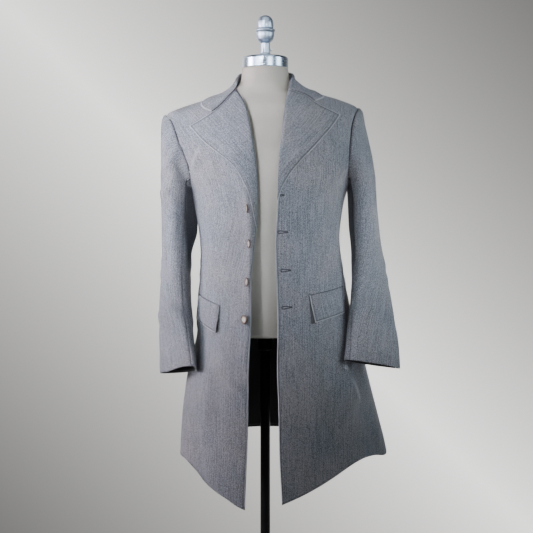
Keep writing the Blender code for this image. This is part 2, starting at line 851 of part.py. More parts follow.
def collar_row(side, along):
    """One section of the collar's fall, from its fold to its edge."""
    at = {name: curve(along) for name, curve in collar_curves(side).items()}
    folded = fade(along, GORGE_STEPS / COLLAR_STEPS - 0.01, GORGE_STEPS / COLLAR_STEPS + 0.16)
    flat = LAY + TURNED_CLOTH
    gorge = lapel_lay(at["fold_z"])
    points = [
        on_body(side, at["fold"], at["fold_z"] - 0.0010 * folded, mix(gorge, -0.0012, folded)),
        on_body(side, at["fold"] + 0.4, at["fold_z"] + 0.0006 * folded, mix(gorge, 0.0012, folded)),
    ]
    for i in range(1, COLLAR_COLUMNS + 1):
        t = i / COLLAR_COLUMNS
        swell = math.sin(math.pi * t) * 0.0018 * folded
        out = mix(mix(gorge, 0.0036, folded), flat, t) + swell
        angle, z = mix(at["fold"], at["edge"], t), mix(at["fold_z"], at["edge_z"], t)
        points.append(on_body(side, angle, z, out))
    return points


def both_ways(make, steps):
    """Rows from the right front round the back to the left front."""
    rows = [make(RIGHT, i / steps) for i in range(steps + 1)]
    middle = rows.pop()
    rows.append([Vector((0, point.y, point.z)) for point in middle])
    rows += [make(LEFT, 1 - i / steps) for i in range(1, steps + 1)]
    return rows


def collar():
    rows = both_ways(collar_row, COLLAR_STEPS)
    return sheet("collar", rows, TURNED_CLOTH, SUIT)


def stand_row(side, share):
    """One section of the collar's stand, which rises from the neckline into the fold."""
    start = 0.35
    along = mix(start, 1.0, share)
    at = {name: curve(along) for name, curve in collar_curves(side).items()}
    foot = neck_height(side, at["fold"]) + 0.0007
    top = max(at["fold_z"] - 0.0040, foot + 0.0015)
    return [on_body(side, at["fold"], mix(foot, top, t), -0.0004) for t in (0, 0.5, 1)]


def collar_stand():
    rows = [row[::-1] for row in both_ways(stand_row, 12)]
    return sheet("collar_stand", rows, TURNED_CLOTH, SUIT)


def flap(side, name):
    """A pocket flap, which stands a little off the front at its foot."""
    top_front, top_back, foot_back, foot_front = FLAPS[side]
    columns, ups = 6, 4
    rows = []
    for j in range(ups + 1):
        v = j / ups
        row = []
        for i in range(columns + 1):
            u = i / columns
            x = mix(mix(foot_front[0], foot_back[0], u), mix(top_front[0], top_back[0], u), v)
            z = mix(mix(foot_front[1], foot_back[1], u), mix(top_front[1], top_back[1], u), v)
            if j == 0 and i == 0:
                x, z = x + 0.004, z + 0.003
            out = 1.6 * LAY + TURNED_CLOTH + 0.0022 * (1 - v)
            row.append(on_body(side, angle_at(side, x, z), z, out))
        rows.append(row)
    return sheet(name, facing(side, rows), TURNED_CLOTH, SUIT)


def back_lining():
    """The black lining that shows between the fronts, inside the skirt of the back."""
    columns, ups, hem = 7, 8, 0.006
    inset = CLOTH + LAY
    rows = []
    for j in range(ups + 1):
        halves = {}
        for side in (RIGHT, LEFT):
            pairs = BACK_PAIRS[side][j][:columns + 1]
            lift = hem if j == 0 else 0.0
            halves[side] = [on_body(side, angle, z + lift, -inset) for angle, z in pairs]
        middle = halves[RIGHT][0]
        middle.x = 0.0
        rows.append(halves[LEFT][:0:-1] + [middle] + halves[RIGHT][1:])
    return sheet("back_lining", rows, LINING, BLACK_LINING)


def button(name, x, z, turn, lift):
    """A dished button on the right front, sewn on loosely and turned to the side."""
    rim, height = BUTTON_RADIUS, BUTTON_HEIGHT
    profile = (
        (0, height * 0.62), (rim * 0.45, height * 0.62), (rim * 0.66, height), (rim * 0.9, height * 0.9),
        (rim, height * 0.5), (rim * 0.86, 0.0), (0, 0.0),
    )
    thing = turned(name, profile, ((0.55, 0.5, 0.42), 0.3), steps=18)
    angle = angle_at(RIGHT, x, z)
    normal = (on_body(RIGHT, angle, z, 0.01) - on_body(RIGHT, angle, z)).normalized()
    face = Matrix.Rotation(math.radians(-turn), 3, "Z") @ normal
    thing.rotation_euler = face.to_track_quat("Z", "Y").to_euler()
    thing.location = on_body(RIGHT, angle, z, lift)
    return thing


# Dress form and stand

COVER = ((0.72, 0.69, 0.62), 0.85)
STEEL = ((0.55, 0.56, 0.57), 0.28, 1.0)
BLACK_METAL = ((0.012, 0.012, 0.013), 0.35, 0.6)


def form_width(side, z):
    """The form's half width, held just under the coat's shoulders."""
    width = smooth(FORM, "z", "width")(z)
    return min(width, body[side](z + FORM_REST)) if SHOULDER[RIGHT] - 0.01 < z < 1.515 else width


def dress_form():
    sides = 28
    levels = [mix(FORM_FOOT, 1.42, i / 10) for i in range(11)]
    levels += [1.436, 1.449, 1.459, 1.469, 1.479, 1.489, 1.499, 1.509, 1.520, 1.534, FORM_NECK]
    depths = {face: smooth(FORM, "z", face) for face in ("front", "back")}
    mesh = bmesh.new()
    rings = []
    for z in levels:
        ring = []
        square = mix(2.3, 2.0, fade(z, 1.46, 1.52))
        for i in range(sides):
            turn = 360 * (i + 0.5) / sides
            side, angle = (LEFT, turn) if turn < 180 else (RIGHT, 360 - turn)
            depth = depths["front" if angle <= 90 else "back"](z)
            ring.append(mesh.verts.new(ring_point(form_width(side, z), depth, square, side, angle, z)))
        rings.append(ring)
    for low, high in zip(rings, rings[1:]):
        for i in range(sides):
            k = (i + 1) % sides
            mesh.faces.new((low[i], low[k], high[k], high[i]))
    mesh.faces.new(rings[0][::-1])
    mesh.faces.new(rings[-1])
    data = bpy.data.meshes.new("form_torso")
    mesh.to_mesh(data)
    mesh.free()
    thing = add("form_torso", data, COVER)
    thing.data.shade_smooth()
    return thing


def metalwork():
    """The neck cap, the finial, the pole and the base, each turned about the upright axis."""
    clear = 0.0003
    cap_foot = FORM_NECK + clear
    turned("neck_cap", (
        (0, CAP_TOP), (0.040, CAP_TOP), (0.0535, CAP_TOP - 0.002), (CAP_RADIUS, CAP_TOP - 0.006),
        (CAP_RADIUS, cap_foot), (0, cap_foot),
    ), STEEL, steps=32)
    foot = CAP_TOP + clear
    turned("finial_stem", (
        (0, 1.6105), (0.0115, 1.6105), (0.0118, 1.586), (0.0150, 1.5825), (0.0150, foot), (0, foot),
    ), STEEL, steps=24)
    turned("finial_cup", (
        (0, 1.6435), (0.0235, 1.6435), (0.0250, 1.641), (0.0235, 1.6375), (0.0165, 1.625),
        (0.0135, 1.611), (0, 1.611),
    ), STEEL, steps=24)
    turned("finial_dome", (
        (0, 1.678), (0.0085, 1.6765), (0.0155, 1.6715), (0.0195, 1.664), (0.0205, 1.655),
        (0.0200, 1.6438), (0, 1.6438),
    ), STEEL, steps=24)
    turned("pole", (
        (0, FORM_FOOT - clear), (0.045, FORM_FOOT - clear), (0.045, FORM_FOOT - 0.006),
        (0.020, FORM_FOOT - 0.012), (0.018, FORM_FOOT - 0.045), (POLE_RADIUS, FORM_FOOT - 0.048),
        (POLE_RADIUS, 0.0803), (0, 0.0803),
    ), BLACK_METAL, steps=20)
    turned("base", (
        (0, 0.080), (0.019, 0.080), (0.022, 0.076), (0.026, 0.040), (0.045, 0.026), (0.110, 0.018),
        (BASE_RADIUS - 0.012, 0.013), (BASE_RADIUS, 0.007), (BASE_RADIUS, 0.0), (0, 0.0),
    ), BLACK_METAL, steps=40)


def main():
    for thing in list(bpy.data.objects):
        bpy.data.objects.remove(thing)
    collection()
    for side, name in ((RIGHT, "right"), (LEFT, "left")):
        front(side, "front_" + name)
        back(side, "back_" + name)
        sleeve(side, "top_sleeve_" + name, HINDARM_SEAM - 360, FOREARM_SEAM)
        sleeve(side, "under_sleeve_" + name, FOREARM_SEAM, HINDARM_SEAM)
        cuff_lining(side, "cuff_lining_" + name)
        lapel(side, "lapel_" + name)
        flap(side, "pocket_flap_" + name)
    collar()
    collar_stand()
    back_lining()
    for number, place in enumerate(BUTTONS, 1):
        button(f"button_{number}", **place)
    dress_form()
    metalwork()


main()
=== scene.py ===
import math

import bmesh
import bpy
import numpy as np
from mathutils import Matrix, Vector, noise


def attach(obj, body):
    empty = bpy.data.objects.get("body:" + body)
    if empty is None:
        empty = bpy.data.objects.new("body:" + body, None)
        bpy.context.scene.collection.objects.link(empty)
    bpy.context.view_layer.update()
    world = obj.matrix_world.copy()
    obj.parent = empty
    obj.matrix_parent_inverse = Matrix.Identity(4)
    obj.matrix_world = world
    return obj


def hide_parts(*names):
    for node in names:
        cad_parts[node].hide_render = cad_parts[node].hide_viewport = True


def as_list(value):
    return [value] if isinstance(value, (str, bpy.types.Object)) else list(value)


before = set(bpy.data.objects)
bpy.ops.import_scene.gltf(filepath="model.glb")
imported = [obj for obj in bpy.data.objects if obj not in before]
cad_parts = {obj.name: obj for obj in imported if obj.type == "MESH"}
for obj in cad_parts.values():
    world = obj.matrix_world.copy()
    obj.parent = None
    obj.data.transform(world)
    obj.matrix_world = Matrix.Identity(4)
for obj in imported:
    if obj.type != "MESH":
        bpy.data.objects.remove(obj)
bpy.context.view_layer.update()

print("frame loaded")


# Camera

cameraSettings = {
    "place": (0.0032, -2.4, 1.25), "tilt": 85.44, "focal": 960.0, "width": 533.0, "sensor": 36.0,
    "near": 0.05, "far": 30.0,
}


# Adds an object to the scene from its data and materials
def newPiece(name, data, *materials):
    for material in materials:
        data.materials.append(material)
    piece = bpy.data.objects.new(name, data)
    bpy.context.scene.collection.objects.link(piece)
    return piece


def makeCamera(settings):
    data = bpy.data.cameras.new("camera")
    data.sensor_width = settings["sensor"]
    data.lens = settings["sensor"] * settings["focal"] / settings["width"]
    data.clip_start, data.clip_end = settings["near"], settings["far"]
    camera = newPiece("camera", data)
    camera.location = settings["place"]
    camera.rotation_euler = (math.radians(settings["tilt"]), 0, 0)
    bpy.context.scene.camera = camera


makeCamera(cameraSettings)
print("camera")


# Sizes of the coat, in metres. Right and left are the wearer's.

right, left = -1, 1

# Cloth
clothWall = 0.0018  # wall of the body and sleeves
turnedWall = 0.0016  # wall of lapels, collar and flaps
liningWall = 0.0012
seamGap = 0.00025  # half of the gap between two pieces at a seam
sleeveSeam = 0.0005  # half of the gap along a sleeve's seams, which cross its tighter curves
headSeam = 0.0010  # the same on the sleeve's head
napeEase = 0.0005  # more of a seam's gap at the nape
armholeGap = 0.0009  # gap between the armhole's edge and the sleeve
layGap = 0.0006  # gap between a piece and the panel that it lies on
neckLift = 0.0010  # more of that gap under the lapels and collar by the neck
ridgeLift = 0.0006  # and under a lapel's foot
neckLiftHeights, ridgeLiftHeights = (1.43, 1.47), (1.28, 1.24)
rollInset = 0.0015  # how far a front's edge stays back from the roll of its lapel

# Heights
sideHem = {right: 0.594, left: 0.587}
backHem = 0.607
armpit = 1.252
nape = 1.514
breakLine = 1.225  # where the lapels start
neck = {right: 1.510, left: 1.520}
shoulder = {right: 1.436, left: 1.452}


# Rows of a table as dictionaries, under the column names
def table(names, *rows):
    keys = names.split()
    return [dict(zip(keys, row)) for row in rows]


# Rings of the coat's outer surface: half widths to each side, depths to front and back, squareness
bodyRings = table(
    "z      right  left   front  back   square",
    (0.460, 0.214, 0.322, 0.215, 0.190, 2.1),
    (0.590, 0.211, 0.305, 0.204, 0.182, 2.1),
    (0.670, 0.207, 0.286, 0.195, 0.172, 2.1),
    (0.740, 0.201, 0.269, 0.187, 0.163, 2.15),
    (0.810, 0.192, 0.253, 0.178, 0.152, 2.2),
    (0.900, 0.172, 0.228, 0.165, 0.138, 2.25),
    (0.980, 0.170, 0.209, 0.155, 0.127, 2.3),
    (1.070, 0.161, 0.192, 0.144, 0.116, 2.3),
    (1.130, 0.163, 0.185, 0.141, 0.112, 2.3),
    (1.210, 0.175, 0.194, 0.145, 0.120, 2.3),
    (1.252, 0.181, 0.203, 0.147, 0.127, 2.3),
    (1.290, 0.196, 0.215, 0.146, 0.131, 2.3),
    (1.340, 0.224, 0.231, 0.138, 0.131, 2.3),
    (1.386, 0.241, 0.234, 0.122, 0.126, 2.3),
    (1.420, 0.2455, 0.2345, 0.103, 0.115, 2.3),
    (1.436, 0.243, 0.2325, 0.093, 0.108, 2.3),
    (1.452, 0.207, 0.226, 0.083, 0.100, 2.3),
    (1.470, 0.150, 0.184, 0.075, 0.091, 2.3),
    (1.485, 0.104, 0.136, 0.069, 0.084, 2.3),
    (1.497, 0.083, 0.100, 0.065, 0.079, 2.3),
    (1.510, 0.072, 0.079, 0.062, 0.075, 2.3),
    (1.520, 0.068, 0.069, 0.060, 0.072, 2.3),
    (1.550, 0.066, 0.066, 0.058, 0.070, 2.3),
)

# The edge of the armhole, from armpit to shoulder: height as a share, angles on the ring
armhole = table(
    "along height front back",
    (0.00, 0.00, 90.0, 90.0),
    (0.12, 0.055, 80.0, 100.0),
    (0.27, 0.17, 69.5, 111.5),
    (0.50, 0.45, 59.5, 121.5),
    (0.75, 0.73, 61.5, 119.5),
    (0.90, 0.92, 70.0, 111.0),
    (1.00, 1.00, 90.0, 90.0),
)

# Front edge, then roll line: distance from the middle at each height
frontEdgeRows = {
    right: table(
        "z      x",
        (0.503, 0.047), (0.697, 0.040), (0.826, 0.038), (0.945, 0.0325), (1.022, 0.032),
        (1.095, 0.027), (1.180, 0.019), (1.257, 0.0205), (1.299, 0.023), (1.348, 0.029),
        (1.391, 0.036), (1.430, 0.045), (1.460, 0.053), (1.494, 0.069), (1.510, 0.072),
    ),
    left: table(
        "z      x",
        (0.516, 0.039), (0.632, 0.033), (0.741, 0.031), (0.837, 0.028), (0.933, 0.0295),
        (1.001, 0.028), (1.126, 0.024), (1.180, 0.027), (1.266, 0.030), (1.320, 0.034),
        (1.365, 0.039), (1.421, 0.0455), (1.470, 0.052), (1.495, 0.057), (1.520, 0.069),
    ),
}

# Hem of each front, from the corner to the side: height at each distance from the middle
frontHem = {
    right: table(
        "x      z",
        (0.047, 0.503), (0.061, 0.508), (0.089, 0.524), (0.117, 0.538), (0.145, 0.554),
        (0.175, 0.575), (0.198, 0.591), (0.211, 0.594),
    ),
    left: table(
        "x      z",
        (0.039, 0.516), (0.072, 0.529), (0.126, 0.553), (0.154, 0.568), (0.182, 0.584),
        (0.210, 0.600), (0.234, 0.606), (0.265, 0.604), (0.305, 0.587),
    ),
}

# Soft folds of the skirt: middle and reach on the ring, depth at the hem, height where each fades
skirtFolds = {
    right: table(
        "angle reach depth top",
        (52.0, 9.0, -0.006, 0.90),
        (78.0, 8.0, 0.006, 0.86),
        (104.0, 10.0, -0.008, 0.92),
        (128.0, 9.0, 0.008, 0.94),
        (152.0, 10.0, -0.007, 0.90),
    ),
    left: table(
        "angle reach depth top",
        (44.0, 9.0, 0.005, 0.88),
        (66.0, 8.0, -0.007, 0.86),
        (100.0, 10.0, 0.007, 0.92),
        (126.0, 10.0, -0.009, 0.94),
        (150.0, 9.0, 0.007, 0.90),
    ),
}

# The rolled edge of the right front: how far its ridge is from the middle, how far the ridge stands
# out and how far the strip beyond it turns in
rollReach, rollStrip, rollPower = 0.018, 0.004, 1.3
rollRows = table(
    "z      ridge   out    inward",
    (0.600, 0.0400, 0.000, 0.000),
    (0.900, 0.0340, 0.005, 0.000),
    (1.020, 0.0315, 0.009, 0.000),
    (1.060, 0.0322, 0.010, 0.005),
    (1.125, 0.0330, 0.010, 0.012),
    (1.215, 0.0346, 0.010, 0.022),
    (1.262, 0.0480, 0.007, 0.021),
    (1.300, 0.0680, 0.004, 0.013),
    (1.370, 0.1050, 0.000, 0.000),
)

# Lapels: edges as distance from the middle and height
lapelForeEdge = {
    right: table(
        "x      z",
        (0.0225, 1.160), (0.0270, 1.180), (0.0320, 1.202), (0.0350, 1.220), (0.0385, 1.238),
        (0.048, 1.261), (0.060, 1.286), (0.081, 1.313), (0.113, 1.338), (0.146, 1.364),
        (0.175, 1.395), (0.181, 1.4015),
    ),
    left: table(
        "x      z",
        (0.0318, 1.228), (0.0334, 1.236), (0.0360, 1.246), (0.044, 1.262), (0.059, 1.287),
        (0.085, 1.319), (0.112, 1.346), (0.138, 1.375), (0.161, 1.401), (0.180, 1.429),
    ),
}
lapelTop = {
    right: table(
        "x      z",
        (0.070, 1.492), (0.083, 1.478), (0.112, 1.446), (0.151, 1.418), (0.181, 1.4015),
    ),
    left: table(
        "x      z",
        (0.0575, 1.493), (0.077, 1.485), (0.106, 1.473), (0.123, 1.4575), (0.180, 1.429),
    ),
}
# Pocket flaps: front top, back top, back bottom, front bottom
flapCorners = {
    right: ((0.108, 0.976), (0.161, 0.995), (0.166, 0.934), (0.116, 0.910)),
    left: ((0.104, 1.002), (0.189, 1.016), (0.190, 0.953), (0.117, 0.936)),
}

# Collar: its fold and its outer edge as angle and height, round to the middle of the back. The
# fold starts where the gorge seam ends, and each gorge step meets a column of the lapel.
collarSteps, gorgeSteps, lapelColumns, lapelRows = 16, 3, 6, 14
collarFold = {
    right: table(
        "along angle z",
        (0.32, 66.0, 1.5115), (0.48, 90.0, 1.5250), (0.70, 126.0, 1.5400),
        (1.00, 180.0, 1.5490),
    ),
    left: table(
        "along angle z",
        (0.32, 60.0, 1.5190), (0.48, 90.0, 1.5320), (0.70, 126.0, 1.5430),
        (1.00, 180.0, 1.5490),
    ),
}
collarEdge = {
    right: table(
        "along angle z",
        (0.00, 56.5, 1.463), (0.10, 68.0, 1.471), (0.19, 77.0, 1.478), (0.32, 87.0, 1.484),
        (0.48, 102.0, 1.489), (0.70, 130.0, 1.492), (1.00, 180.0, 1.497),
    ),
    left: table(
        "along angle z",
        (0.00, 50.0, 1.472), (0.10, 60.0, 1.482), (0.19, 69.0, 1.487), (0.32, 81.0, 1.491),
        (0.48, 98.0, 1.493), (0.70, 130.0, 1.495), (1.00, 180.0, 1.497),
    ),
}

# Sleeves below the armhole: middle of each ring, half sizes of its flattened oval, how far the oval
# is turned from front-to-back towards across, and the slopes of the ring to the front and outwards
sleeveRings = {
    right: table(
        "z      x      y       long   thin   turn  pitch  lean",
        (0.806, 0.212, -0.078, 0.068, 0.020, 45.0, 0.27, 0.00),
        (0.840, 0.215, -0.068, 0.067, 0.022, 44.0, 0.27, 0.00),
        (0.890, 0.219, -0.053, 0.064, 0.027, 40.0, 0.27, 0.00),
        (0.950, 0.224, -0.033, 0.062, 0.034, 30.0, 0.24, 0.00),
        (1.010, 0.2245, -0.014, 0.064, 0.038, 15.0, 0.16, 0.00),
        (1.080, 0.222, -0.005, 0.068, 0.037, 4.0, 0.06, 0.00),
        (1.150, 0.223, -0.002, 0.072, 0.036, 0.0, 0.00, 0.00),
        (1.215, 0.222, 0.000, 0.074, 0.037, 0.0, 0.00, 0.00),
    ),
    left: table(
        "z      x      y       long   thin   turn  pitch  lean",
        (0.832, 0.2585, -0.117, 0.0715, 0.019, 77.0, 0.33, -0.12),
        (0.860, 0.260, -0.108, 0.070, 0.021, 75.0, 0.34, -0.12),
        (0.900, 0.2615, -0.088, 0.068, 0.025, 71.0, 0.36, -0.10),
        (0.950, 0.262, -0.060, 0.067, 0.030, 57.0, 0.36, -0.06),
        (1.010, 0.2605, -0.028, 0.068, 0.036, 38.0, 0.28, -0.03),
        (1.080, 0.2555, -0.008, 0.070, 0.0385, 17.0, 0.10, 0.00),
        (1.150, 0.247, -0.002, 0.073, 0.0385, 4.0, 0.02, 0.00),
        (1.215, 0.2425, 0.000, 0.074, 0.036, 0.0, 0.00, 0.00),
    ),
}
# Seams of a sleeve as angles on its ring, where 0 faces out and 90 the front. The forearm seam
# swings towards the front on its way to the cuff.
forearmSeam, forearmCuff = 140.0, 60.0
hindarmSeam = 240.0
seamColumn = 4.0  # width of the narrow columns along the forearm seam

# Buttons on the right front: distance from the middle, height, how far each is turned to the side
# and how far its middle then stands off the cloth
buttonPlaces = table(
    "x      z      turn  lift",
    (0.0380, 1.207, 60.0, 0.0084),
    (0.0352, 1.124, 54.0, 0.0073),
    (0.0392, 1.034, 40.0, 0.0063),
    (0.0468, 0.946, 20.0, 0.0040),
)
buttonRadius = 0.0115
buttonHeight = 0.0038

# Dress form
formFoot = 0.895
formNeck = 1.5485
formRings = table(
    "z      width  front  back",
    (0.895, 0.148, 0.118, 0.102),
    (0.950, 0.152, 0.122, 0.104),
    (1.020, 0.146, 0.118, 0.098),
    (1.100, 0.136, 0.112, 0.090),
    (1.180, 0.143, 0.111, 0.094),
    (1.270, 0.156, 0.118, 0.104),
    (1.340, 0.168, 0.115, 0.108),
    (1.400, 0.182, 0.080, 0.086),
    (1.436, 0.186, 0.058, 0.066),
    (1.462, 0.182, 0.050, 0.058),
    (1.480, 0.150, 0.050, 0.056),
    (1.494, 0.081, 0.052, 0.056),
    (1.508, 0.066, 0.055, 0.056),
    (1.522, 0.059, 0.056, 0.056),
    (1.549, 0.0565, 0.0565, 0.0565),
)
formRest = 0.0028  # how far the form's shoulders lie below the coat's outer surface
capRadius = 0.0568
capTop = 1.578
poleRadius = 0.0125
baseRadius = 0.190


# A step of a smooth curve, from its low end, its rise and its slopes at both ends
def hermite(low, rise, start, end, t):
    bend, turn = 3 * rise - 2 * start - end, start + end - 2 * rise
    return low + t * start + t * t * bend + t ** 3 * turn


# A curve through the rows that never passes beyond them
def smooth(rows, key, value):
    xs = [row[key] for row in rows]
    ys = [row[value] for row in rows]
    steps = [(ys[i + 1] - ys[i]) / (xs[i + 1] - xs[i]) for i in range(len(xs) - 1)]
    slopes = [steps[0]]
    slopes += [2 * a * b / (a + b) if a * b > 0 else 0.0 for a, b in zip(steps, steps[1:])]
    slopes.append(steps[-1])

    def at(x):
        x = min(max(x, xs[0]), xs[-1])
        i = 0
        while i < len(steps) - 1 and x > xs[i + 1]:
            i += 1
        run = xs[i + 1] - xs[i]
        t = (x - xs[i]) / run
        return hermite(ys[i], steps[i] * run, slopes[i] * run, slopes[i + 1] * run, t)

    return at


# A soft step from 0 at the start to 1 at the end
def fade(value, start, end):
    t = min(max((value - start) / (end - start), 0.0), 1.0)
    return t * t * (3 - 2 * t)


def mix(a, b, t):
    return a + (b - a) * t


# The coat's surface

body = {name: smooth(bodyRings, "z", name) for name in ("right", "left", "front", "back", "square")}
body[right], body[left] = body["right"], body["left"]


# A point of a squared oval, by its angle from the middle of the front
def ringPoint(width, depth, square, side, angle, z):
    turn = math.radians(angle)
    across = max(math.sin(turn), 0.0) ** (2 / square)
    along = abs(math.cos(turn)) ** (2 / square)
    return Vector((side * width * across, (depth if angle > 90 else -depth) * along, z))


roll = {name: smooth(rollRows, "z", name) for name in ("ridge", "out", "inward")}
frontEdge = {side: smooth(rows, "z", "x") for side, rows in frontEdgeRows.items()}


# How far the right front moves to the front or, beyond its ridge, inwards
def edgeRoll(x, z):
    ridge = roll["ridge"](z)
    if ridge <= x:
        return roll["out"](z) * math.exp(-((ridge - x) / rollReach) ** 2)
    strip = max(ridge - frontEdge[right](z), rollStrip)
    return roll["out"](z) - roll["inward"](z) * ((ridge - x) / strip) ** rollPower


def bodyPoint(side, angle, z):
    depth = body["front"](z) if angle <= 90 else body["back"](z)
    point = ringPoint(body[side](z), depth, body["square"](z), side, angle, z)
    if side == right and angle < 90:
        point.y -= edgeRoll(abs(point.x), z)
    swell = sum(
        fold["depth"] * math.exp(-((angle - fold["angle"]) / fold["reach"]) ** 2)
        * fade(z, fold["top"], sideHem[side])
        for fold in skirtFolds[side]
    )
    turn = math.radians(angle)
    return point + Vector((side * math.sin(turn), -math.cos(turn), 0)) * swell


# Unit normal of a surface, pointing away from a middle
def normalOf(surface, u, v, du, dv, middle):
    across = surface(u + du, v) - surface(u - du, v)
    up = surface(u, v + dv) - surface(u, v - dv)
    normal = across.cross(up).normalized()
    return normal if normal.dot(surface(u, v) - middle) > 0 else -normal


angleStep, heightStep = 0.5, 0.002  # how far apart the points are that give a normal


# A point of the coat, moved out from its surface
def onBody(side, angle, z, out=0.0):
    point = bodyPoint(side, angle, z)
    if out:
        near = min(max(angle, angleStep + 0.1), 179.9 - angleStep)
        middle = Vector((0, 0, z - 0.08))
        normal = normalOf(
            lambda a, h: bodyPoint(side, a, h), near, z, angleStep, heightStep, middle)
        point += normal * out
    return point


# The angle where the front's surface is this far from the middle
def angleAt(side, x, z):
    share = min(abs(x) / body[side](z), 1.0)
    return math.degrees(math.asin(share ** (body["square"](z) / 2)))


# The height between two others up to which a test holds
def between(low, high, holds):
    for _ in range(40):
        middle = (low + high) / 2
        low, high = (middle, high) if holds(middle) else (low, middle)
    return low


# The height of the shoulder's ridge this far from the middle
def heightAt(side, x):
    return between(shoulder[side], bodyRings[-1]["z"], lambda z: body[side](z) > x)


# The height of the neckline at an angle, from the roll line round to the nape
def neckHeight(side, angle):
    if angle >= 90:
        return mix(neck[side], nape, fade(angle, 90, 180))
    low, high = neck[side] - 0.04, neck[side]
    return between(low, high, lambda z: angleAt(side, frontEdge[side](z), z) < angle)


def even(count):
    return [i / count for i in range(count + 1)]


# Rows of (angle, height) pairs, filled in between four edges
def patch(bottom, top, inner, outer, across, levels):
    corners = bottom(0), bottom(1), top(0), top(1)
    return [[
        tuple(
            mix(b, t, v) + mix(n, o, u) - mix(mix(b0, b1, u), mix(t0, t1, u), v)
            for b, t, n, o, b0, b1, t0, t1 in zip(bottom(u), top(u), inner(v), outer(v), *corners)
        ) for u in across
    ] for v in levels]


# Rows in the order that makes the faces look outwards
def facing(side, rows):
    return rows if side == left else [row[::-1] for row in rows]


# Cloth pieces

bodyRows, yokeRows, neckRows = 18, 9, 3
backColumns = 10
lowShare = bodyRows / (bodyRows + yokeRows)  # the rows below the armpit
# Columns of a front, closer along its edge
frontShares = (0, 0.025, 0.055, 0.09, 0.14, 0.21, 0.30, 0.40, 0.51, 0.62, 0.73, 0.83, 0.92, 1.0)
# Levels of a panel's rows. The last are closer, for the turn of the neck and a flat shoulder seam.
neckLevel, seamLevel = 0.9830, 0.9945
panelLevels = [j / (bodyRows + yokeRows) for j in range(bodyRows + yokeRows)]
panelLevels += [neckLevel, seamLevel, 1.0]


# The side seam and then the armhole, as angle and height
def sideEdge(side, face):
    armholeAngle = smooth(armhole, "along", face)
    armholeHeight = smooth(armhole, "along", "height")

    def at(v):
        if v <= lowShare:
            return 90.0, mix(sideHem[side], armpit, v / lowShare)
        along = (v - lowShare) / (1 - lowShare)
        return armholeAngle(along), mix(armpit, shoulder[side], armholeHeight(along))

    return at


# The seam on the ridge of the shoulder, from neck to armhole, as angle and height
def shoulderSeam(side):

    def at(u):
        x = mix(body[side](neck[side]), body[side](shoulder[side]), u)
        return 90.0, heightAt(side, x) if 0 < u < 1 else (shoulder if u else neck)[side]

    return at


hemSpread, breakReach = 1.35, 0.03  # closeness of a hem's places, and softness of the break


def frontRows(side):
    hem = smooth(frontHem[side], "x", "z")
    corner, end = frontHem[side][0], frontHem[side][-1]

    def bottom(u):
        x = mix(corner["x"], end["x"], 1 - (1 - u) ** hemSpread)
        z = hem(x)
        return (angleAt(side, x, z), z) if u < 1 else (90.0, sideHem[side])

    def inner(v):
        if v <= lowShare:
            z = mix(corner["z"], armpit, v / lowShare)
        else:
            z = mix(armpit, neck[side], (v - lowShare) / (1 - lowShare))
        inset = rollInset * fade(z, breakLine - breakReach, breakLine + breakReach)
        return angleAt(side, frontEdge[side](z) + inset, z), z

    top, outer = shoulderSeam(side), sideEdge(side, "front")
    return patch(bottom, top, inner, outer, frontShares, panelLevels)


def frontSheet(side):
    rows = []
    for row in frontRows(side):
        points = [onBody(side, angle, z) for angle, z in row]
        points[-1].y -= seamGap
        rows.append(points)
    for point in rows[-1]:
        point.y = min(point.y, -seamGap)
    return facing(side, rows)


def backRows(side):
    napeShare = (bodyRows + yokeRows - neckRows) / (bodyRows + yokeRows)

    def bottom(u):
        return mix(180.0, 90.0, u), mix(backHem, sideHem[side], fade(u, 0, 1))

    def inner(v):
        if v <= lowShare:
            return 180.0, mix(backHem, armpit, v / lowShare)
        if v <= napeShare:
            return 180.0, mix(armpit, nape, (v - lowShare) / (napeShare - lowShare))
        along = (v - napeShare) / (1 - napeShare)
        return mix(180.0, 90.0, along), mix(nape, neck[side], fade(along, 0, 1))

    top, outer = shoulderSeam(side), sideEdge(side, "back")
    return patch(bottom, top, inner, outer, even(backColumns), panelLevels)


def backSheet(side):
    rows = []
    for row in backPairs[side]:
        points = [onBody(side, angle, z) for angle, z in row]
        points[-1].y += seamGap
        if row[0][0] > 179.99:
            points[0].x = side * (seamGap + napeEase * fade(row[0][1], nape - 0.05, nape))
        rows.append(points)
    for point in rows[-1]:
        point.y = max(point.y, seamGap)
    return facing(-side, rows)


backPairs = {side: backRows(side) for side in (right, left)}


# The angle on the ring, at a height, of the column that starts at this angle of the armhole
def columnTurn(side, column, z):
    forearm = mix(forearmSeam, forearmCuff, fade(z, sleeveTop, sleeveRings[side][0]["z"]))
    start = hindarmSeam - 360
    lap = 360 * math.floor((column - start) / 360)
    if column - lap <= forearmSeam:
        return lap + mix(start, forearm, (column - lap - start) / (forearmSeam - start))
    share = (column - lap - forearmSeam) / (hindarmSeam - forearmSeam)
    return lap + mix(forearm, hindarmSeam, share)


# A point of the hanging sleeve, by its column and the ring's middle height
def sleeveRing(side, column, z):
    at = {name: curve(z) for name, curve in sleeveCurves[side].items()}
    turn = math.radians(columnTurn(side, column, z))
    out = at["thin"] * math.cos(turn)
    fore = at["long"] * math.sin(turn)
    swing = math.radians(at["turn"])
    x = out * math.cos(swing) - fore * math.sin(swing)
    y = -(out * math.sin(swing) + fore * math.cos(swing))
    return Vector((side * (at["x"] + x), at["y"] + y, z - at["pitch"] * y + at["lean"] * x))


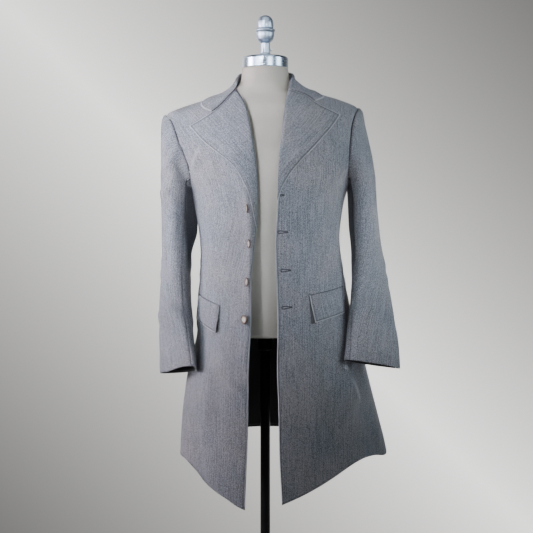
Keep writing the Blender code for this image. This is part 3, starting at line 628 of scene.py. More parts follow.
# A point of the sleeve's head, which turns over the armhole and down into the sleeve
def sleeveHead(side, angle, out, down):
    angle = angle % 360
    face = "front" if angle < 180 else "back"
    along = 1 - angle / 180 if angle < 180 else angle / 180 - 1
    ring = smooth(armhole, "along", face)(along)
    z = mix(armpit, shoulder[side], smooth(armhole, "along", "height")(along))
    start = bodyPoint(side, ring, z) + Vector((side * armholeGap, 0, 0))
    end = sleeveRing(side, angle, sleeveTop)
    point = start.lerp(end, out)
    point.z = mix(start.z, end.z, down)
    return point


sleeveCurves = {
    side: {name: smooth(rows, "z", name) for name in rows[0] if name != "z"}
    for side, rows in sleeveRings.items()
}
sleeveTop = sleeveRings[right][-1]["z"]
# How far each ring of the sleeve's head has moved outwards and down
headRings = {
    right: table(
        "out   down",
        (0.00, 0.000), (0.22, -0.003), (0.46, 0.006), (0.71, 0.030), (0.92, 0.090),
        (1.00, 0.250), (1.00, 0.500), (1.00, 0.750),
    ),
    left: table(
        "out   down",
        (0.00, 0.000), (0.10, -0.003), (0.20, 0.008), (0.28, 0.050), (0.37, 0.150),
        (0.54, 0.310), (0.78, 0.560), (0.92, 0.790),
    ),
}
# A sleeve has a column at each row of the armhole's edge
yokeShares = [
    (v * (bodyRows + yokeRows) - bodyRows) / yokeRows
    for v in panelLevels[bodyRows:] if v != neckLevel
]
halfTurn = [180 * (1 - share) for share in yokeShares]
bySeam = [forearmSeam - seamColumn, forearmSeam + seamColumn]
turns = {turn * way + 360 * lap for turn in halfTurn for way in (1, -1) for lap in (0, 1)}
sleeveAngles = sorted({round(turn, 3) for turn in turns} | set(bySeam))
sleeveRows = 12
cuffLiningRows = 3  # how far the lining shows up the sleeve
liningEase = 0.002  # how far it ends inside the cuff


# One half of a sleeve, between two seams
def sleeveSheet(side, first, last):
    angles = [angle for angle in sleeveAngles if first <= angle <= last]
    rings = headRings[side]
    rows = [[sleeveHead(side, angle, **ring) for angle in angles] for ring in rings]
    for share in even(sleeveRows):
        z = mix(sleeveTop, sleeveRings[side][0]["z"], share)
        rows.append([sleeveRing(side, angle, z) for angle in angles])
    for j, row in enumerate(rows):
        gap = mix(headSeam, sleeveSeam, fade(j, len(rings) - 2, len(rings) + 1))
        firstStep, lastStep = row[1] - row[0], row[-2] - row[-1]
        row[0] = row[0] + firstStep.normalized() * gap
        row[-1] = row[-1] + lastStep.normalized() * gap
    return facing(side, rows)


# The black lining that shows inside a cuff
def cuffSheet(side):
    cuff = sleeveRings[side][0]["z"]
    angles = [angle for angle in sleeveAngles if 0 <= angle < 360]
    rows = []
    for j in range(sleeveRows - cuffLiningRows, sleeveRows + 1):
        z = max(mix(sleeveTop, cuff, j / sleeveRows), cuff + liningEase)
        row = [sleeveRing(side, angle, z) for angle in angles]
        middle = sum(row, Vector()) / len(row)
        for i, angle in enumerate(angles):
            normal = normalOf(
                lambda a, h: sleeveRing(side, a, h), angle, z, 2 * angleStep, heightStep, middle)
            row[i] -= normal * (clothWall + layGap)
        rows.append(row)
    return facing(side, rows)


# How far a lapel's outer side lies above the front, more by the neck and over the ridge
def lapelLay(z):
    lift = neckLift * fade(z, *neckLiftHeights) + ridgeLift * fade(z, *ridgeLiftHeights)
    return layGap + turnedWall + lift


# The lapel's roll: its first points, beyond the roll line and out from the front, and how soon it
# lies flat
lapelRoll = {
    "points": ((-0.0028, 0.0014, 0.0), (-0.0014, 0.0032, 0.2), (0.0036, 0.0042, 0.5)),
    "clear": 0.0002, "narrow": 0.0022, "wide": 0.005, "out": 0.0040, "spread": 1.25, "flatRows": 3,
}


# The turned front above the break, from the roll line out to its point
def lapelSheet(side, settings):
    roll = frontEdge[side]
    fore = smooth(lapelForeEdge[side], "x", "z")
    tops = smooth(lapelTop[side], "x", "z")
    low, high = lapelForeEdge[side][0], lapelForeEdge[side][-1]
    crest = lapelTop[side][0]

    def bottom(u):
        return mix(roll(low["z"]), low["x"], u), low["z"]

    def top(u):
        x = mix(crest["x"], high["x"], u)
        return x, tops(x)

    def inner(v):
        z = mix(low["z"], crest["z"], v)
        return roll(z), z

    def outer(v):
        x = mix(low["x"], high["x"], v ** settings["spread"])
        return x, fore(x)

    levels = [1 - (1 - v) ** settings["spread"] for v in even(lapelRows)]
    pairsOfRows = patch(bottom, top, inner, outer, even(lapelColumns), levels)
    rows = []
    for j, pairs in enumerate(pairsOfRows):
        (x, z), (nextX, nextZ) = pairs[:2]
        width = nextX - x
        flat = lapelLay(z) + settings["clear"]
        full = min(max((width - settings["narrow"]) / settings["wide"], 0.0), 1.0)
        full *= fade(j, lapelRows, lapelRows - settings["flatRows"])
        row = []
        for beyond, out, share in settings["points"]:
            inside = mix(width * share, beyond, full)
            level = mix(z, nextZ, inside / width)
            row.append(onBody(side, angleAt(side, x + inside, level), level, mix(flat, out, full)))
        for i, (x, z) in enumerate(pairs[1:], 1):
            out = mix(mix(flat, settings["out"], full), flat, fade(i / lapelColumns, 0, 1))
            row.append(onBody(side, angleAt(side, x, z), z, out))
        rows.append(row)
    return facing(side, rows)


# The collar's fold and edge, as functions of the way from the notch to the middle of the back
def collarCurves(side):
    tops = smooth(lapelTop[side], "x", "z")
    crest, point = lapelTop[side][0]["x"], lapelTop[side][-1]["x"]
    gorge = []
    for i in range(gorgeSteps + 1):
        x = mix(crest, point, (gorgeSteps - i) / lapelColumns)
        z = tops(x) + layGap
        gorge.append({"along": i / collarSteps, "angle": angleAt(side, x, z), "z": z})
    rows = {"fold": gorge + collarFold[side], "edge": collarEdge[side]}
    curves = {name: smooth(line, "along", "angle") for name, line in rows.items()}
    return curves | {name + "Z": smooth(line, "along", "z") for name, line in rows.items()}


collarColumns = 5
# The collar's fold: how its first points lie on each side of the fold line, and its fullness
collarRoll = {
    "from": -0.01, "to": 0.16, "drop": 0.0010, "rise": 0.0006, "under": -0.0012, "over": 0.0012,
    "turn": 0.4, "full": 0.0036, "swell": 0.0018,
}


# One section of the collar's fall, from its fold to its edge
def collarRow(side, along):
    settings = collarRoll
    at = {name: curve(along) for name, curve in collarCurves(side).items()}
    gorgeEnd = gorgeSteps / collarSteps
    folded = fade(along, gorgeEnd + settings["from"], gorgeEnd + settings["to"])
    angle, z, gorge, flat = at["fold"], at["foldZ"], lapelLay(at["foldZ"]), layGap + turnedWall
    points = [
        onBody(side, angle, z - settings["drop"] * folded, mix(gorge, settings["under"], folded)),
        onBody(side, angle + settings["turn"], z + settings["rise"] * folded,
               mix(gorge, settings["over"], folded)),
    ]
    for t in even(collarColumns)[1:]:
        swell = math.sin(math.pi * t) * settings["swell"] * folded
        out = mix(mix(gorge, settings["full"], folded), flat, t) + swell
        points.append(onBody(side, mix(angle, at["edge"], t), mix(z, at["edgeZ"], t), out))
    return points


# Rows from the right front round the back to the left front
def bothWays(make, steps):
    rows = [make(right, i / steps) for i in range(steps + 1)]
    middle = rows.pop()
    rows.append([Vector((0, point.y, point.z)) for point in middle])
    rows += [make(left, 1 - i / steps) for i in range(1, steps + 1)]
    return rows


def collarSheet():
    return bothWays(collarRow, collarSteps)


# The collar's stand: how far round it starts, its sections, how far it stays above the neckline and
# below the fold, its least height and how far in it lies
standFit = {
    "start": 0.35, "steps": 12, "foot": 0.0007, "top": 0.0040, "least": 0.0015, "in": 0.0004,
}


# One section of the collar's stand, which rises from the neckline into the fold
def standRow(side, share):
    along = mix(standFit["start"], 1.0, share)
    at = {name: curve(along) for name, curve in collarCurves(side).items()}
    foot = neckHeight(side, at["fold"]) + standFit["foot"]
    top = max(at["foldZ"] - standFit["top"], foot + standFit["least"])
    return [onBody(side, at["fold"], mix(foot, top, t), -standFit["in"]) for t in even(2)]


def standSheet():
    return [row[::-1] for row in bothWays(standRow, standFit["steps"])]


flapStand, flapGap = 0.0022, 1.6 * layGap  # how far a flap's foot and its top stand off


# A pocket flap, which stands a little off the front at its foot
def flapSheet(side):
    corners = flapCorners[side]
    rows = []
    for v in even(4):
        row = []
        for u in even(6):
            x, z = (
                mix(mix(footFront, footBack, u), mix(topFront, topBack, u), v)
                for topFront, topBack, footBack, footFront in zip(*corners)
            )
            out = flapGap + turnedWall + flapStand * (1 - v)
            row.append(onBody(side, angleAt(side, x, z), z, out))
        rows.append(row)
    return facing(side, rows)


liningHem = 0.006  # how far the lining ends above the hem


# The black lining that shows between the fronts, inside the skirt of the back
def liningSheet():
    columns, ups, inset = 7, 8, clothWall + layGap
    rows = []
    for j in range(ups + 1):
        halves = {}
        for side in (right, left):
            lift = 0.0 if j else liningHem
            pairs = backPairs[side][j][:columns + 1]
            halves[side] = [onBody(side, angle, z + lift, -inset) for angle, z in pairs]
        middle = halves[right][0]
        middle.x = 0.0
        rows.append(halves[left][:0:-1] + [middle] + halves[right][1:])
    return rows


print("surfaces")


# Fine meshes

# A smooth curve through rows of values at uneven knots, read at the wanted places
def curveThrough(values, knots, wanted):
    shape = (-1,) + (1,) * (values.ndim - 1)
    runs = np.diff(knots)
    steps = np.diff(values, axis=0) / runs.reshape(shape)
    slopes = np.empty_like(values)
    before, after = runs[:-1].reshape(shape), runs[1:].reshape(shape)
    slopes[1:-1] = (after * steps[:-1] + before * steps[1:]) / (before + after)
    slopes[0] = 1.5 * steps[0] - 0.5 * slopes[1]
    slopes[-1] = 1.5 * steps[-1] - 0.5 * slopes[-2]
    spans = np.clip(np.searchsorted(knots, wanted, side="right") - 1, 0, len(runs) - 1)
    run = runs[spans].reshape(shape)
    t = ((wanted - knots[spans]) / runs[spans]).reshape(shape)
    low, high = values[spans], values[spans + 1]
    start, end = slopes[spans] * run, slopes[spans + 1] * run
    return hermite(low, high - low, start, end, t)


edgeSteps = np.array((0.0, 0.0007, 0.0017, 0.0026, 0.0033, 0.0040, 0.0047, 0.0057, 0.0076))
seamSteps = np.array((0.0, 0.0009, 0.0020, 0.0034))
plainSteps = np.array((0.0,))


# Places along a grid's side, close together at the ends that need it
def placesAlong(length, spacing, startSteps, endSteps):
    low = list(startSteps)
    high = list(length - endSteps[::-1])
    if low[-1] > high[0] - spacing * 0.3:
        count = max(int(round(length / (spacing * 0.4))), 2)
        return np.linspace(0, length, count + 1)
    count = max(int(math.ceil((high[0] - low[-1]) / spacing)), 1)
    inner = np.linspace(low[-1], high[0], count + 1)[1:-1]
    return np.concatenate((low, inner, high))


def lengthsAlong(points, axis):
    return np.linalg.norm(np.diff(points, axis=axis), axis=2)


# A fine grid through a coarse one. The sides' names are first, last, foot and top.
def refine(rows, spacing, fine=(), tall=1.0, seams=()):
    steps = {side: plainSteps for side in ("first", "last", "foot", "top")}
    steps.update({side: seamSteps for side in seams})
    steps.update({side: edgeSteps for side in fine})
    points = np.array([[tuple(point) for point in row] for row in rows], dtype=float)
    upKnots = np.concatenate(([0.0], np.cumsum(lengthsAlong(points, 0).mean(axis=1))))
    up = placesAlong(upKnots[-1], spacing * tall, steps["foot"], steps["top"])
    points = curveThrough(points, upKnots, up)
    knots = np.concatenate(([0.0], np.cumsum(lengthsAlong(points, 1).mean(axis=0))))
    across = placesAlong(knots[-1], spacing, steps["first"], steps["last"])
    points = curveThrough(points.transpose(1, 0, 2), knots, across).transpose(1, 0, 2)
    return points


def normalsOf(points, closed=False):
    if closed:
        across = np.roll(points, -1, axis=1) - np.roll(points, 1, axis=1)
    else:
        across = np.gradient(points, axis=1)
    up = np.gradient(points, axis=0)
    normals = np.cross(across, up)
    size = np.linalg.norm(normals, axis=2, keepdims=True)
    return normals / np.maximum(size, 1e-12)


# Distances across and up a grid, measured over its surface
def runsOver(points):
    across, up = np.zeros(points.shape[:2]), np.zeros(points.shape[:2])
    across[:, 1:] = np.cumsum(lengthsAlong(points, 1), axis=1)
    up[1:] = np.cumsum(lengthsAlong(points, 0), axis=0)
    return across, up


farthest = 0.05  # how far from an edge a place counts at most


# The nearest of the named sides of a grid, as a distance
def fromSides(across, up, sides):
    ways = {"first": across, "last": across[:, -1:] - across, "foot": up, "top": up[-1:] - up}
    return np.minimum.reduce([np.full(across.shape, farthest)] + [ways[side] for side in sides])


# Creases, one by one: the side that each is seen from, its start and end, how far it reaches to
# each side, how deep it is and how far its middle bows
creases = table(
    "seen    a0      b0     a1      b1     reach   depth    bow",
    ("front", -0.240, 1.285, -0.200, 1.375, 0.010, 0.0056, 0.003),
    ("front", -0.262, 1.205, -0.212, 1.300, 0.012, 0.0050, 0.004),
    ("front", -0.262, 1.268, -0.206, 1.190, 0.012, 0.0034, 0.004),
    ("front", -0.246, 1.345, -0.214, 1.402, 0.009, 0.0034, 0.002),
    ("front", -0.176, 1.284, -0.140, 1.366, 0.008, 0.0040, 0.003),
    ("front", -0.178, 1.262, -0.108, 1.308, 0.011, 0.0040, 0.005),
    ("front", 0.106, 1.001, 0.066, 0.962, 0.010, 0.0030, 0.004),
    ("front", -0.255, 1.205, -0.200, 1.150, 0.013, 0.0026, 0.006),
    ("front", -0.256, 0.992, -0.180, 0.905, 0.013, 0.0042, 0.006),
    ("front", -0.268, 0.985, -0.200, 0.950, 0.011, 0.0028, -0.005),
    ("front", -0.150, 1.180, -0.060, 1.090, 0.016, 0.0018, 0.012),
    ("front", -0.166, 1.120, -0.085, 1.060, 0.014, 0.0020, -0.008),
    ("front", -0.095, 0.800, -0.045, 0.755, 0.010, 0.0030, 0.006),
    ("front", -0.150, 0.860, -0.146, 0.640, 0.020, 0.0034, 0.004),
    ("front", 0.194, 1.312, 0.132, 1.266, 0.011, 0.0036, 0.004),
    ("front", 0.206, 1.356, 0.254, 1.256, 0.012, 0.0036, 0.004),
    ("front", 0.150, 1.300, 0.085, 1.225, 0.016, 0.0020, -0.008),
    ("front", 0.168, 1.140, 0.070, 1.080, 0.015, 0.0020, 0.008),
    ("front", 0.255, 1.335, 0.210, 1.285, 0.013, 0.0030, -0.008),
    ("front", 0.218, 0.986, 0.312, 0.938, 0.012, 0.0034, 0.004),
    ("front", 0.196, 0.800, 0.230, 0.726, 0.010, 0.0046, 0.003),
    ("front", 0.305, 0.975, 0.225, 0.945, 0.011, 0.0024, -0.004),
    ("front", 0.205, 0.880, 0.215, 0.640, 0.018, 0.0040, -0.008),
    ("front", 0.110, 0.880, 0.120, 0.640, 0.022, 0.0024, 0.006),
    ("right", 0.050, 1.110, -0.030, 1.060, 0.013, 0.0019, 0.008),
    ("right", 0.052, 1.060, -0.040, 1.025, 0.012, 0.0017, -0.006),
    ("right", 0.050, 1.330, -0.030, 1.275, 0.015, 0.0014, 0.010),
    ("right", -0.020, 0.960, -0.060, 0.900, 0.012, 0.0022, 0.006),
    ("left", 0.055, 1.100, -0.040, 1.050, 0.013, 0.0012, 0.008),
    ("left", 0.050, 1.040, -0.050, 1.005, 0.012, 0.0011, -0.006),
    ("left", 0.055, 1.320, -0.030, 1.270, 0.015, 0.0010, 0.010),
    ("left", -0.030, 0.970, -0.100, 0.915, 0.012, 0.0022, 0.006),
    ("back", -0.150, 1.300, -0.050, 1.210, 0.018, 0.0026, 0.012),
    ("back", 0.155, 1.290, 0.055, 1.205, 0.018, 0.0026, -0.012),
    ("back", -0.120, 1.160, -0.020, 1.110, 0.015, 0.0022, 0.008),
    ("back", 0.125, 1.150, 0.030, 1.095, 0.015, 0.0022, -0.008),
    ("back", -0.070, 1.480, 0.060, 1.470, 0.012, 0.0016, -0.010),
    ("back", -0.215, 1.340, -0.170, 1.280, 0.013, 0.0026, 0.008),
    ("back", 0.215, 1.330, 0.170, 1.275, 0.013, 0.0026, -0.008),
    ("back", -0.090, 0.900, -0.105, 0.640, 0.020, 0.0034, 0.006),
    ("back", 0.095, 0.890, 0.115, 0.640, 0.020, 0.0034, -0.006),
)
seenFrom = {
    "front": ((1, 0, 0), (0, -1, 0)),
    "back": ((1, 0, 0), (0, 1, 0)),
    "right": ((0, 1, 0), (-1, 0, 0)),
    "left": ((0, 1, 0), (1, 0, 0)),
}


def softStep(values, start, end):
    t = np.clip((values - start) / (end - start), 0.0, 1.0)
    return t * t * (3 - 2 * t)


creaseSettings = {
    "shown": (0.05, 0.45), "rise": 0.32, "fall": 0.38,
    "valley": 0.6, "valleyAt": 1.5, "valleyReach": 0.95,
}


# How far the creases lift each point
def creaseLift(points, normals, settings):
    lift = np.zeros(points.shape[:2])
    for crease in creases:
        sideways, towards = (np.array(way) for way in seenFrom[crease["seen"]])
        a, b = points @ sideways - crease["a0"], points[..., 2] - crease["b0"]
        run = np.array((crease["a1"] - crease["a0"], crease["b1"] - crease["b0"]))
        size = np.linalg.norm(run)
        run = run / size
        along = (a * run[0] + b * run[1]) / size
        beside = b * run[0] - a * run[1] - crease["bow"] * np.sin(np.pi * np.clip(along, 0, 1))
        shown = softStep(normals @ towards, *settings["shown"])
        ends = softStep(along, 0.0, settings["rise"]) * softStep(1 - along, 0.0, settings["fall"])
        near = beside / crease["reach"]
        valley = np.exp(-((near - settings["valleyAt"]) / settings["valleyReach"]) ** 2)
        lift += crease["depth"] * (np.exp(-near ** 2) - settings["valley"] * valley) * ends * shown
    return lift


waves = table(
    "across up start height",
    (11, 6.5, (3.1, 0.0), 0.0021),
    (34, 21, (0.0, 7.7), 0.0007),
)


# Slow waves of the cloth, the same wherever two pieces meet
def waveLift(points):
    lift = np.zeros(points.shape[:2])
    for across, up, start, height in (wave.values() for wave in waves):
        for j, row in enumerate(points):
            for i, (x, y, z) in enumerate(row):
                place = Vector((x * across + start[0], y * across + start[1], z * up))
                lift[j, i] += noise.noise(place) * height
    return lift


# A stitched edge: its raised band, the groove of its stitches and its rounded rim
finishedEdge = {
    "raised": 0.0008, "power": 0.7, "groove": 0.0008, "grooveAt": 0.0040, "grooveReach": 0.0008,
    "rim": 0.0006, "rimReach": 0.0009,
}
# Seam grooves, and the painted shade along seams: its reach, its easing below the armpit and how
# far a sleeve's painted shade beside the body adds
seamSettings = {
    "depth": 0.0008, "reach": 0.0022, "lowEase": 0.0013, "shadeTo": 0.0027, "dark": 0.0020,
}


def edgeLift(nearest, settings):
    if nearest.min() > 0:
        return np.zeros(nearest.shape)
    at = settings["grooveAt"]
    band = settings["raised"] * np.sin(np.pi * np.clip(nearest / at, 0.0, 1.0)) ** settings["power"]
    groove = settings["groove"] * np.exp(-((nearest - at) / settings["grooveReach"]) ** 2)
    return band - groove - settings["rim"] * np.exp(-(nearest / settings["rimReach"]) ** 2)


def seamLift(nearest, settings):
    return -settings["depth"] * np.exp(-(nearest / settings["reach"]) ** 2)


# Cloth bunched under the right arm: its heights, depth, how squarely it faces the body and how far
# back it is
underArm = {
    "top": 1.315, "full": 1.255, "low": 1.150, "foot": 1.085,
    "bunch": 0.0170, "facing": (0.45, 0.95), "back": (-0.045, 0.0),
}
# Painted shade on a sleeve beside the body: how squarely it faces the body, its foot and how it
# fades
paintedSleeveShade = {right: (0.87, 0.965), left: (0.84, 0.95), "foot": 1.03, "fade": 0.06}


# How squarely each point of a sleeve faces the body, from 0 to 1
def facesBody(side, points, start, end):
    return softStep(-side * normalsOf(points)[..., 0], start, end)


def bunchSleeve(points, settings):
    y, z = points[..., 1], points[..., 2]
    share = softStep(-z, -settings["top"], -settings["full"])
    share = share * softStep(z, settings["foot"], settings["low"])
    share = share * facesBody(right, points, *settings["facing"]) * softStep(y, *settings["back"])
    points[..., 0] += settings["bunch"] * share
    return points


# Painted shade on a sleeve where it faces the body, fading out towards its foot
def paintedShadeBeside(side, points, settings):
    shown = facesBody(side, points, *settings[side])
    return shown * softStep(points[..., 2], settings["foot"], settings["foot"] + settings["fade"])


# The fore part of the right cuff is lifted towards the body, so that its inside shows below
cuffRise = {
    "high": 0.95, "low": 0.84, "outer": 0.245, "inner": 0.195,
    "lift": 0.010, "middle": (0.212, -0.078), "slope": 0.9, "fade": (-0.004, 0.016),
}


def raiseCuff(points, settings):
    x, y, z = -points[..., 0], points[..., 1], points[..., 2]
    share = softStep(-z, -settings["high"], -settings["low"])
    share = share * softStep(-x, -settings["outer"], -settings["inner"])
    middleX, middleY = settings["middle"]
    middle = middleY - settings["slope"] * (middleX - x)
    points[..., 2] += settings["lift"] * share * softStep(middle - y, *settings["fade"])
    return points


grids = {}


# Turns a grid into a wall of cloth with its own UV map in metres, and how near its edges are
def makeWall(name, points, settings, materials, closed=False):
    outwards = settings.get("outwards", 1)
    across, up = runsOver(points)
    normals = normalsOf(points, closed)
    finished = fromSides(across, up, settings.get("stitched", ()))
    seams = fromSides(across, up, settings.get("seams", ()))
    lift = creaseLift(points, normals * outwards, creaseSettings) * settings.get("creased", 1.0)
    lift += waveLift(points) * settings.get("waved", 1.0)
    lift += edgeLift(finished, finishedEdge) + seamLift(seams, seamSettings)
    points = points + normals * lift[..., None] * outwards
    grids[name] = points, normalsOf(points, closed), across, up
    u = across + settings.get("start", 0.0)
    if settings.get("turnWeave"):
        u = across[:, -1:] - across
    u = np.column_stack((u, u[:, -1] + (u[:, -1] - u[:, -2])))
    v = np.column_stack((up, up[:, 0]))
    ups, columns = points.shape[:2]
    faces, corners = [], []
    for j in range(ups - 1):
        for i in range(columns if closed else columns - 1):
            loop = ((j, i), (j, i + 1), (j + 1, i + 1), (j + 1, i))
            faces.append([row * columns + column % columns for row, column in loop])
            corners += [(u[at], v[at]) for at in loop]
    mesh = bpy.data.meshes.new(name)
    mesh.from_pydata([tuple(point) for point in points.reshape(-1, 3)], [], faces)
    weaveMap = mesh.uv_layers.new(name="weave")
    weaveMap.data.foreach_set("uv", np.array(corners, dtype=np.float32).ravel())
    # Painted shade along seams, eased below the armpit unless deep is set, and none above seamTop
    if not settings.get("deep"):
        seams = seams + settings.get("lowEase", seamSettings["lowEase"]) * (points[..., 2] < armpit)
    seams = seams + farthest * (points[..., 2] > settings.get("seamTop", math.inf))
    # dark: painted shade on a sleeve beside the body, carried in the distances of the seams'
    # painted shade
    dark = seamSettings["dark"] * settings.get("dark", 0.0)
    seams = np.minimum(seams, seamSettings["shadeTo"] - dark)
    for label, values in (("nearEdge", finished), ("paintedShadeDistance", seams)):
        near = mesh.attributes.new(label, "FLOAT", "POINT")
        near.data.foreach_set("value", values.astype(np.float32).ravel())
    mesh.shade_smooth()
    piece = newPiece(name, mesh, *materials)
    wall = piece.modifiers.new("wall", "SOLIDIFY")
    wall.thickness = settings["wall"]
    wall.offset = -1
    wall.use_even_offset = False
    if len(materials) > 1:
        wall.material_offset = 1
    return piece


# Shader groups

# Fills sockets by name, with a link or a value
def fill(tree, sockets, values):
    for name, value in values.items():
        if isinstance(value, bpy.types.NodeSocket):
            tree.links.new(value, sockets[name])
        else:
            sockets[name].default_value = value


def node(tree, kind, inputs=(), **settings):
    made = tree.nodes.new(kind)
    for name, value in settings.items():
        setattr(made, name, value)
    fill(tree, made.inputs, dict(inputs))
    return made


def reckon(tree, operation, a, b=0.0, c=0.0):
    return node(tree, "ShaderNodeMath", {0: a, 1: b, 2: c}, operation=operation).outputs[0]


def mapRange(tree, value, low, high, start=0.0, end=1.0):
    return node(tree, "ShaderNodeMapRange", {
        "Value": value, "From Min": low, "From Max": high, "To Min": start, "To Max": end,
    }).outputs[0]


def noiseAt(tree, place, scale, detail, rough=0.5, distortion=0.0):
    return node(tree, "ShaderNodeTexNoise", {
        "Vector": place, "Scale": scale, "Detail": detail,
        "Roughness": rough, "Distortion": distortion,
    }).outputs[0]


def stretch(tree, place, scale):
    return node(tree, "ShaderNodeVectorMath", {0: place, 1: scale}, operation="MULTIPLY").outputs[0]


def blendColours(tree, share, a, b, kind="MIX"):
    made = node(tree, "ShaderNodeMix", data_type="RGBA", blend_type=kind)
    fill(tree, made.inputs, {0: share, 6: a, 7: b})
    return made.outputs[2]


def newGroup(name, inputs, outputs, kind="ShaderNodeTree"):
    tree = bpy.data.node_groups.new(name, kind)
    for label, socketKind, value in inputs:
        socket = tree.interface.new_socket(label, in_out="INPUT", socket_type=socketKind)
        if value is not None:
            socket.default_value = value
    for label, socketKind in outputs:
        tree.interface.new_socket(label, in_out="OUTPUT", socket_type=socketKind)
    return tree, tree.nodes.new("NodeGroupInput").outputs, tree.nodes.new("NodeGroupOutput").inputs


weaveSettings = {
    "wander": 0.0011, "wanderScale": 60.0, "slope": 1.1, "borderPower": 9.0, "relief": 0.35,
    "yarn": (1500.0, 620.0, 1.0), "streaks": (430.0, 15.0, 1.0),
}


# A woven cloth in narrow bands whose lines lean one way and then the other
def makeWeave(settings):
    tree, given, out = newGroup(
        "weave",
        (
            ("Place", "NodeSocketVector", None),
            ("Band", "NodeSocketFloat", 0.0065),
            ("Line", "NodeSocketFloat", 0.0021),
        ),
        [(label, "NodeSocketFloat") for label in ("Lines", "Borders", "Yarn", "Streaks", "Height")],
    )
    place, band = given["Place"], given["Band"]
    across, up, _ = node(tree, "ShaderNodeSeparateXYZ", {0: place}).outputs
    wander = noiseAt(tree, place, settings["wanderScale"], 1.0)
    wandering = reckon(tree, "MULTIPLY_ADD", wander, settings["wander"], across)
    bands = reckon(tree, "PINGPONG", wandering, band)
    slant = reckon(tree, "MULTIPLY_ADD", bands, settings["slope"], up)
    turns = reckon(tree, "MULTIPLY", reckon(tree, "DIVIDE", slant, given["Line"]), 2 * math.pi)
    wave = reckon(tree, "SINE", turns)
    middle = reckon(tree, "SUBTRACT", reckon(tree, "DIVIDE", bands, band), 0.5)
    middle = reckon(tree, "MULTIPLY", reckon(tree, "ABSOLUTE", middle), 2.0)
    yarn = noiseAt(tree, stretch(tree, place, settings["yarn"]), 1.0, 2.0)
    fill(tree, out, {
        "Lines": reckon(tree, "MULTIPLY_ADD", wave, 0.5, 0.5),
        "Borders": reckon(tree, "POWER", middle, settings["borderPower"]),
        "Yarn": yarn,
        "Streaks": noiseAt(tree, stretch(tree, place, settings["streaks"]), 1.0, 2.0),
        "Height": reckon(tree, "MULTIPLY_ADD", wave, settings["relief"], yarn),
    })
    return tree


# Slow changes of tone over a piece, and fine specks
def makeTone():
    tree, given, out = newGroup(
        "tone",
        (("Place", "NodeSocketVector", None), ("Speck", "NodeSocketFloat", 640.0)),
        (("Slow", "NodeSocketFloat"), ("Specks", "NodeSocketFloat")),
    )
    fill(tree, out, {
        "Slow": noiseAt(tree, given["Place"], 9.0, 3.0),
        "Specks": noiseAt(tree, given["Place"], given["Speck"], 2.0, 0.55),
    })
    return tree


weave, tone = makeWeave(weaveSettings), makeTone()


def newMaterial(name):
    made = bpy.data.materials.new(name)
    made.use_nodes = True
    return made, made.node_tree, made.node_tree.nodes["Principled BSDF"].inputs


# Fills a shader's sockets and roughens it with a bump
def finish(tree, shader, values, height, strength, distance):
    bump = {"Height": height, "Strength": strength, "Distance": distance}
    fill(tree, shader, {**values, "Normal": node(tree, "ShaderNodeBump", bump).outputs[0]})


def placeOf(tree, fromMap=False):
    if fromMap:
        return node(tree, "ShaderNodeUVMap", uv_map="weave").outputs[0]
    return node(tree, "ShaderNodeTexCoord").outputs["Object"]


# The cloth's tones, how much each part of the weave counts, and the painted shade of grooves and
# seams and painted highlight of edges
suitCloth = {
    "light": (0.330, 0.334, 0.352, 1),
    "dark": (0.072, 0.074, 0.084, 1),
    # Painted highlight for finished edges, then painted shade for seams and for a sleeve beside the
    # body
    "edgeHighlight": (0.440, 0.442, 0.455, 1),
    "deep": (0.020, 0.020, 0.024, 1),
    "cool": (0.96, 0.99, 1.02, 1),
    "warm": (1.04, 1.00, 0.985, 1),
    "weights": {
        "specks": 0.58, "lines": 0.16, "yarn": 0.44, "borders": -0.20, "streaks": 0.27,
        "slow": 0.26,
    },
    "blend": (0.51, 1.16),
    "toneRange": (0.38, 0.62),
    "streakRange": (0.30, 0.70),
    "groove": (0.0005, 0.0016, 0.75, 0.0),
    "edge": (0.0016, 0.0026, 0.75, 0.0),
    "seam": (0.0007, 0.0026, 0.85, 0.0),
    "sockets": {
        "Roughness": 0.86, "Sheen Weight": 0.10, "Sheen Roughness": 0.45,
        "Specular IOR Level": 0.25,
    },
    "bump": (0.35, 0.0006),
}


def makeSuitCloth(settings):
    made, tree, shader = newMaterial("suit cloth")
    woven = node(tree, "ShaderNodeGroup", {"Place": placeOf(tree, True)}, node_tree=weave).outputs
    toned = node(tree, "ShaderNodeGroup", {"Place": placeOf(tree)}, node_tree=tone).outputs
    parts = {
        "specks": mapRange(tree, toned["Specks"], *settings["toneRange"]),
        "lines": woven["Lines"],
        "yarn": woven["Yarn"],
        "borders": woven["Borders"],
        "streaks": mapRange(tree, woven["Streaks"], *settings["streakRange"]),
        "slow": toned["Slow"],
    }
    share = 0.0
    for name, value in parts.items():
        share = reckon(tree, "MULTIPLY_ADD", value, settings["weights"][name], share)
    share = mapRange(tree, share, *settings["blend"])
    colour = blendColours(tree, share, settings["dark"], settings["light"])
    hue = mapRange(tree, toned["Slow"], *settings["toneRange"])
    tint = blendColours(tree, hue, settings["cool"], settings["warm"])
    colour = blendColours(tree, 1.0, colour, tint, "MULTIPLY")
    near = node(tree, "ShaderNodeAttribute", attribute_name="nearEdge").outputs["Fac"]
    seam = node(tree, "ShaderNodeAttribute", attribute_name="paintedShadeDistance").outputs["Fac"]
    groove = reckon(tree, "ABSOLUTE", reckon(tree, "SUBTRACT", near, finishedEdge["grooveAt"]))
    # Painted shade in the stitch groove (dark) and along seams (deep), and a painted highlight
    # along finished edges
    shades = ((groove, "groove", "dark"), (near, "edge", "edgeHighlight"), (seam, "seam", "deep"))
    for away, part, shade in shades:
        colour = blendColours(tree, mapRange(tree, away, *settings[part]), colour, settings[shade])
    values = {"Base Color": colour, **settings["sockets"]}
    finish(tree, shader, values, woven["Height"], *settings["bump"])
    return made


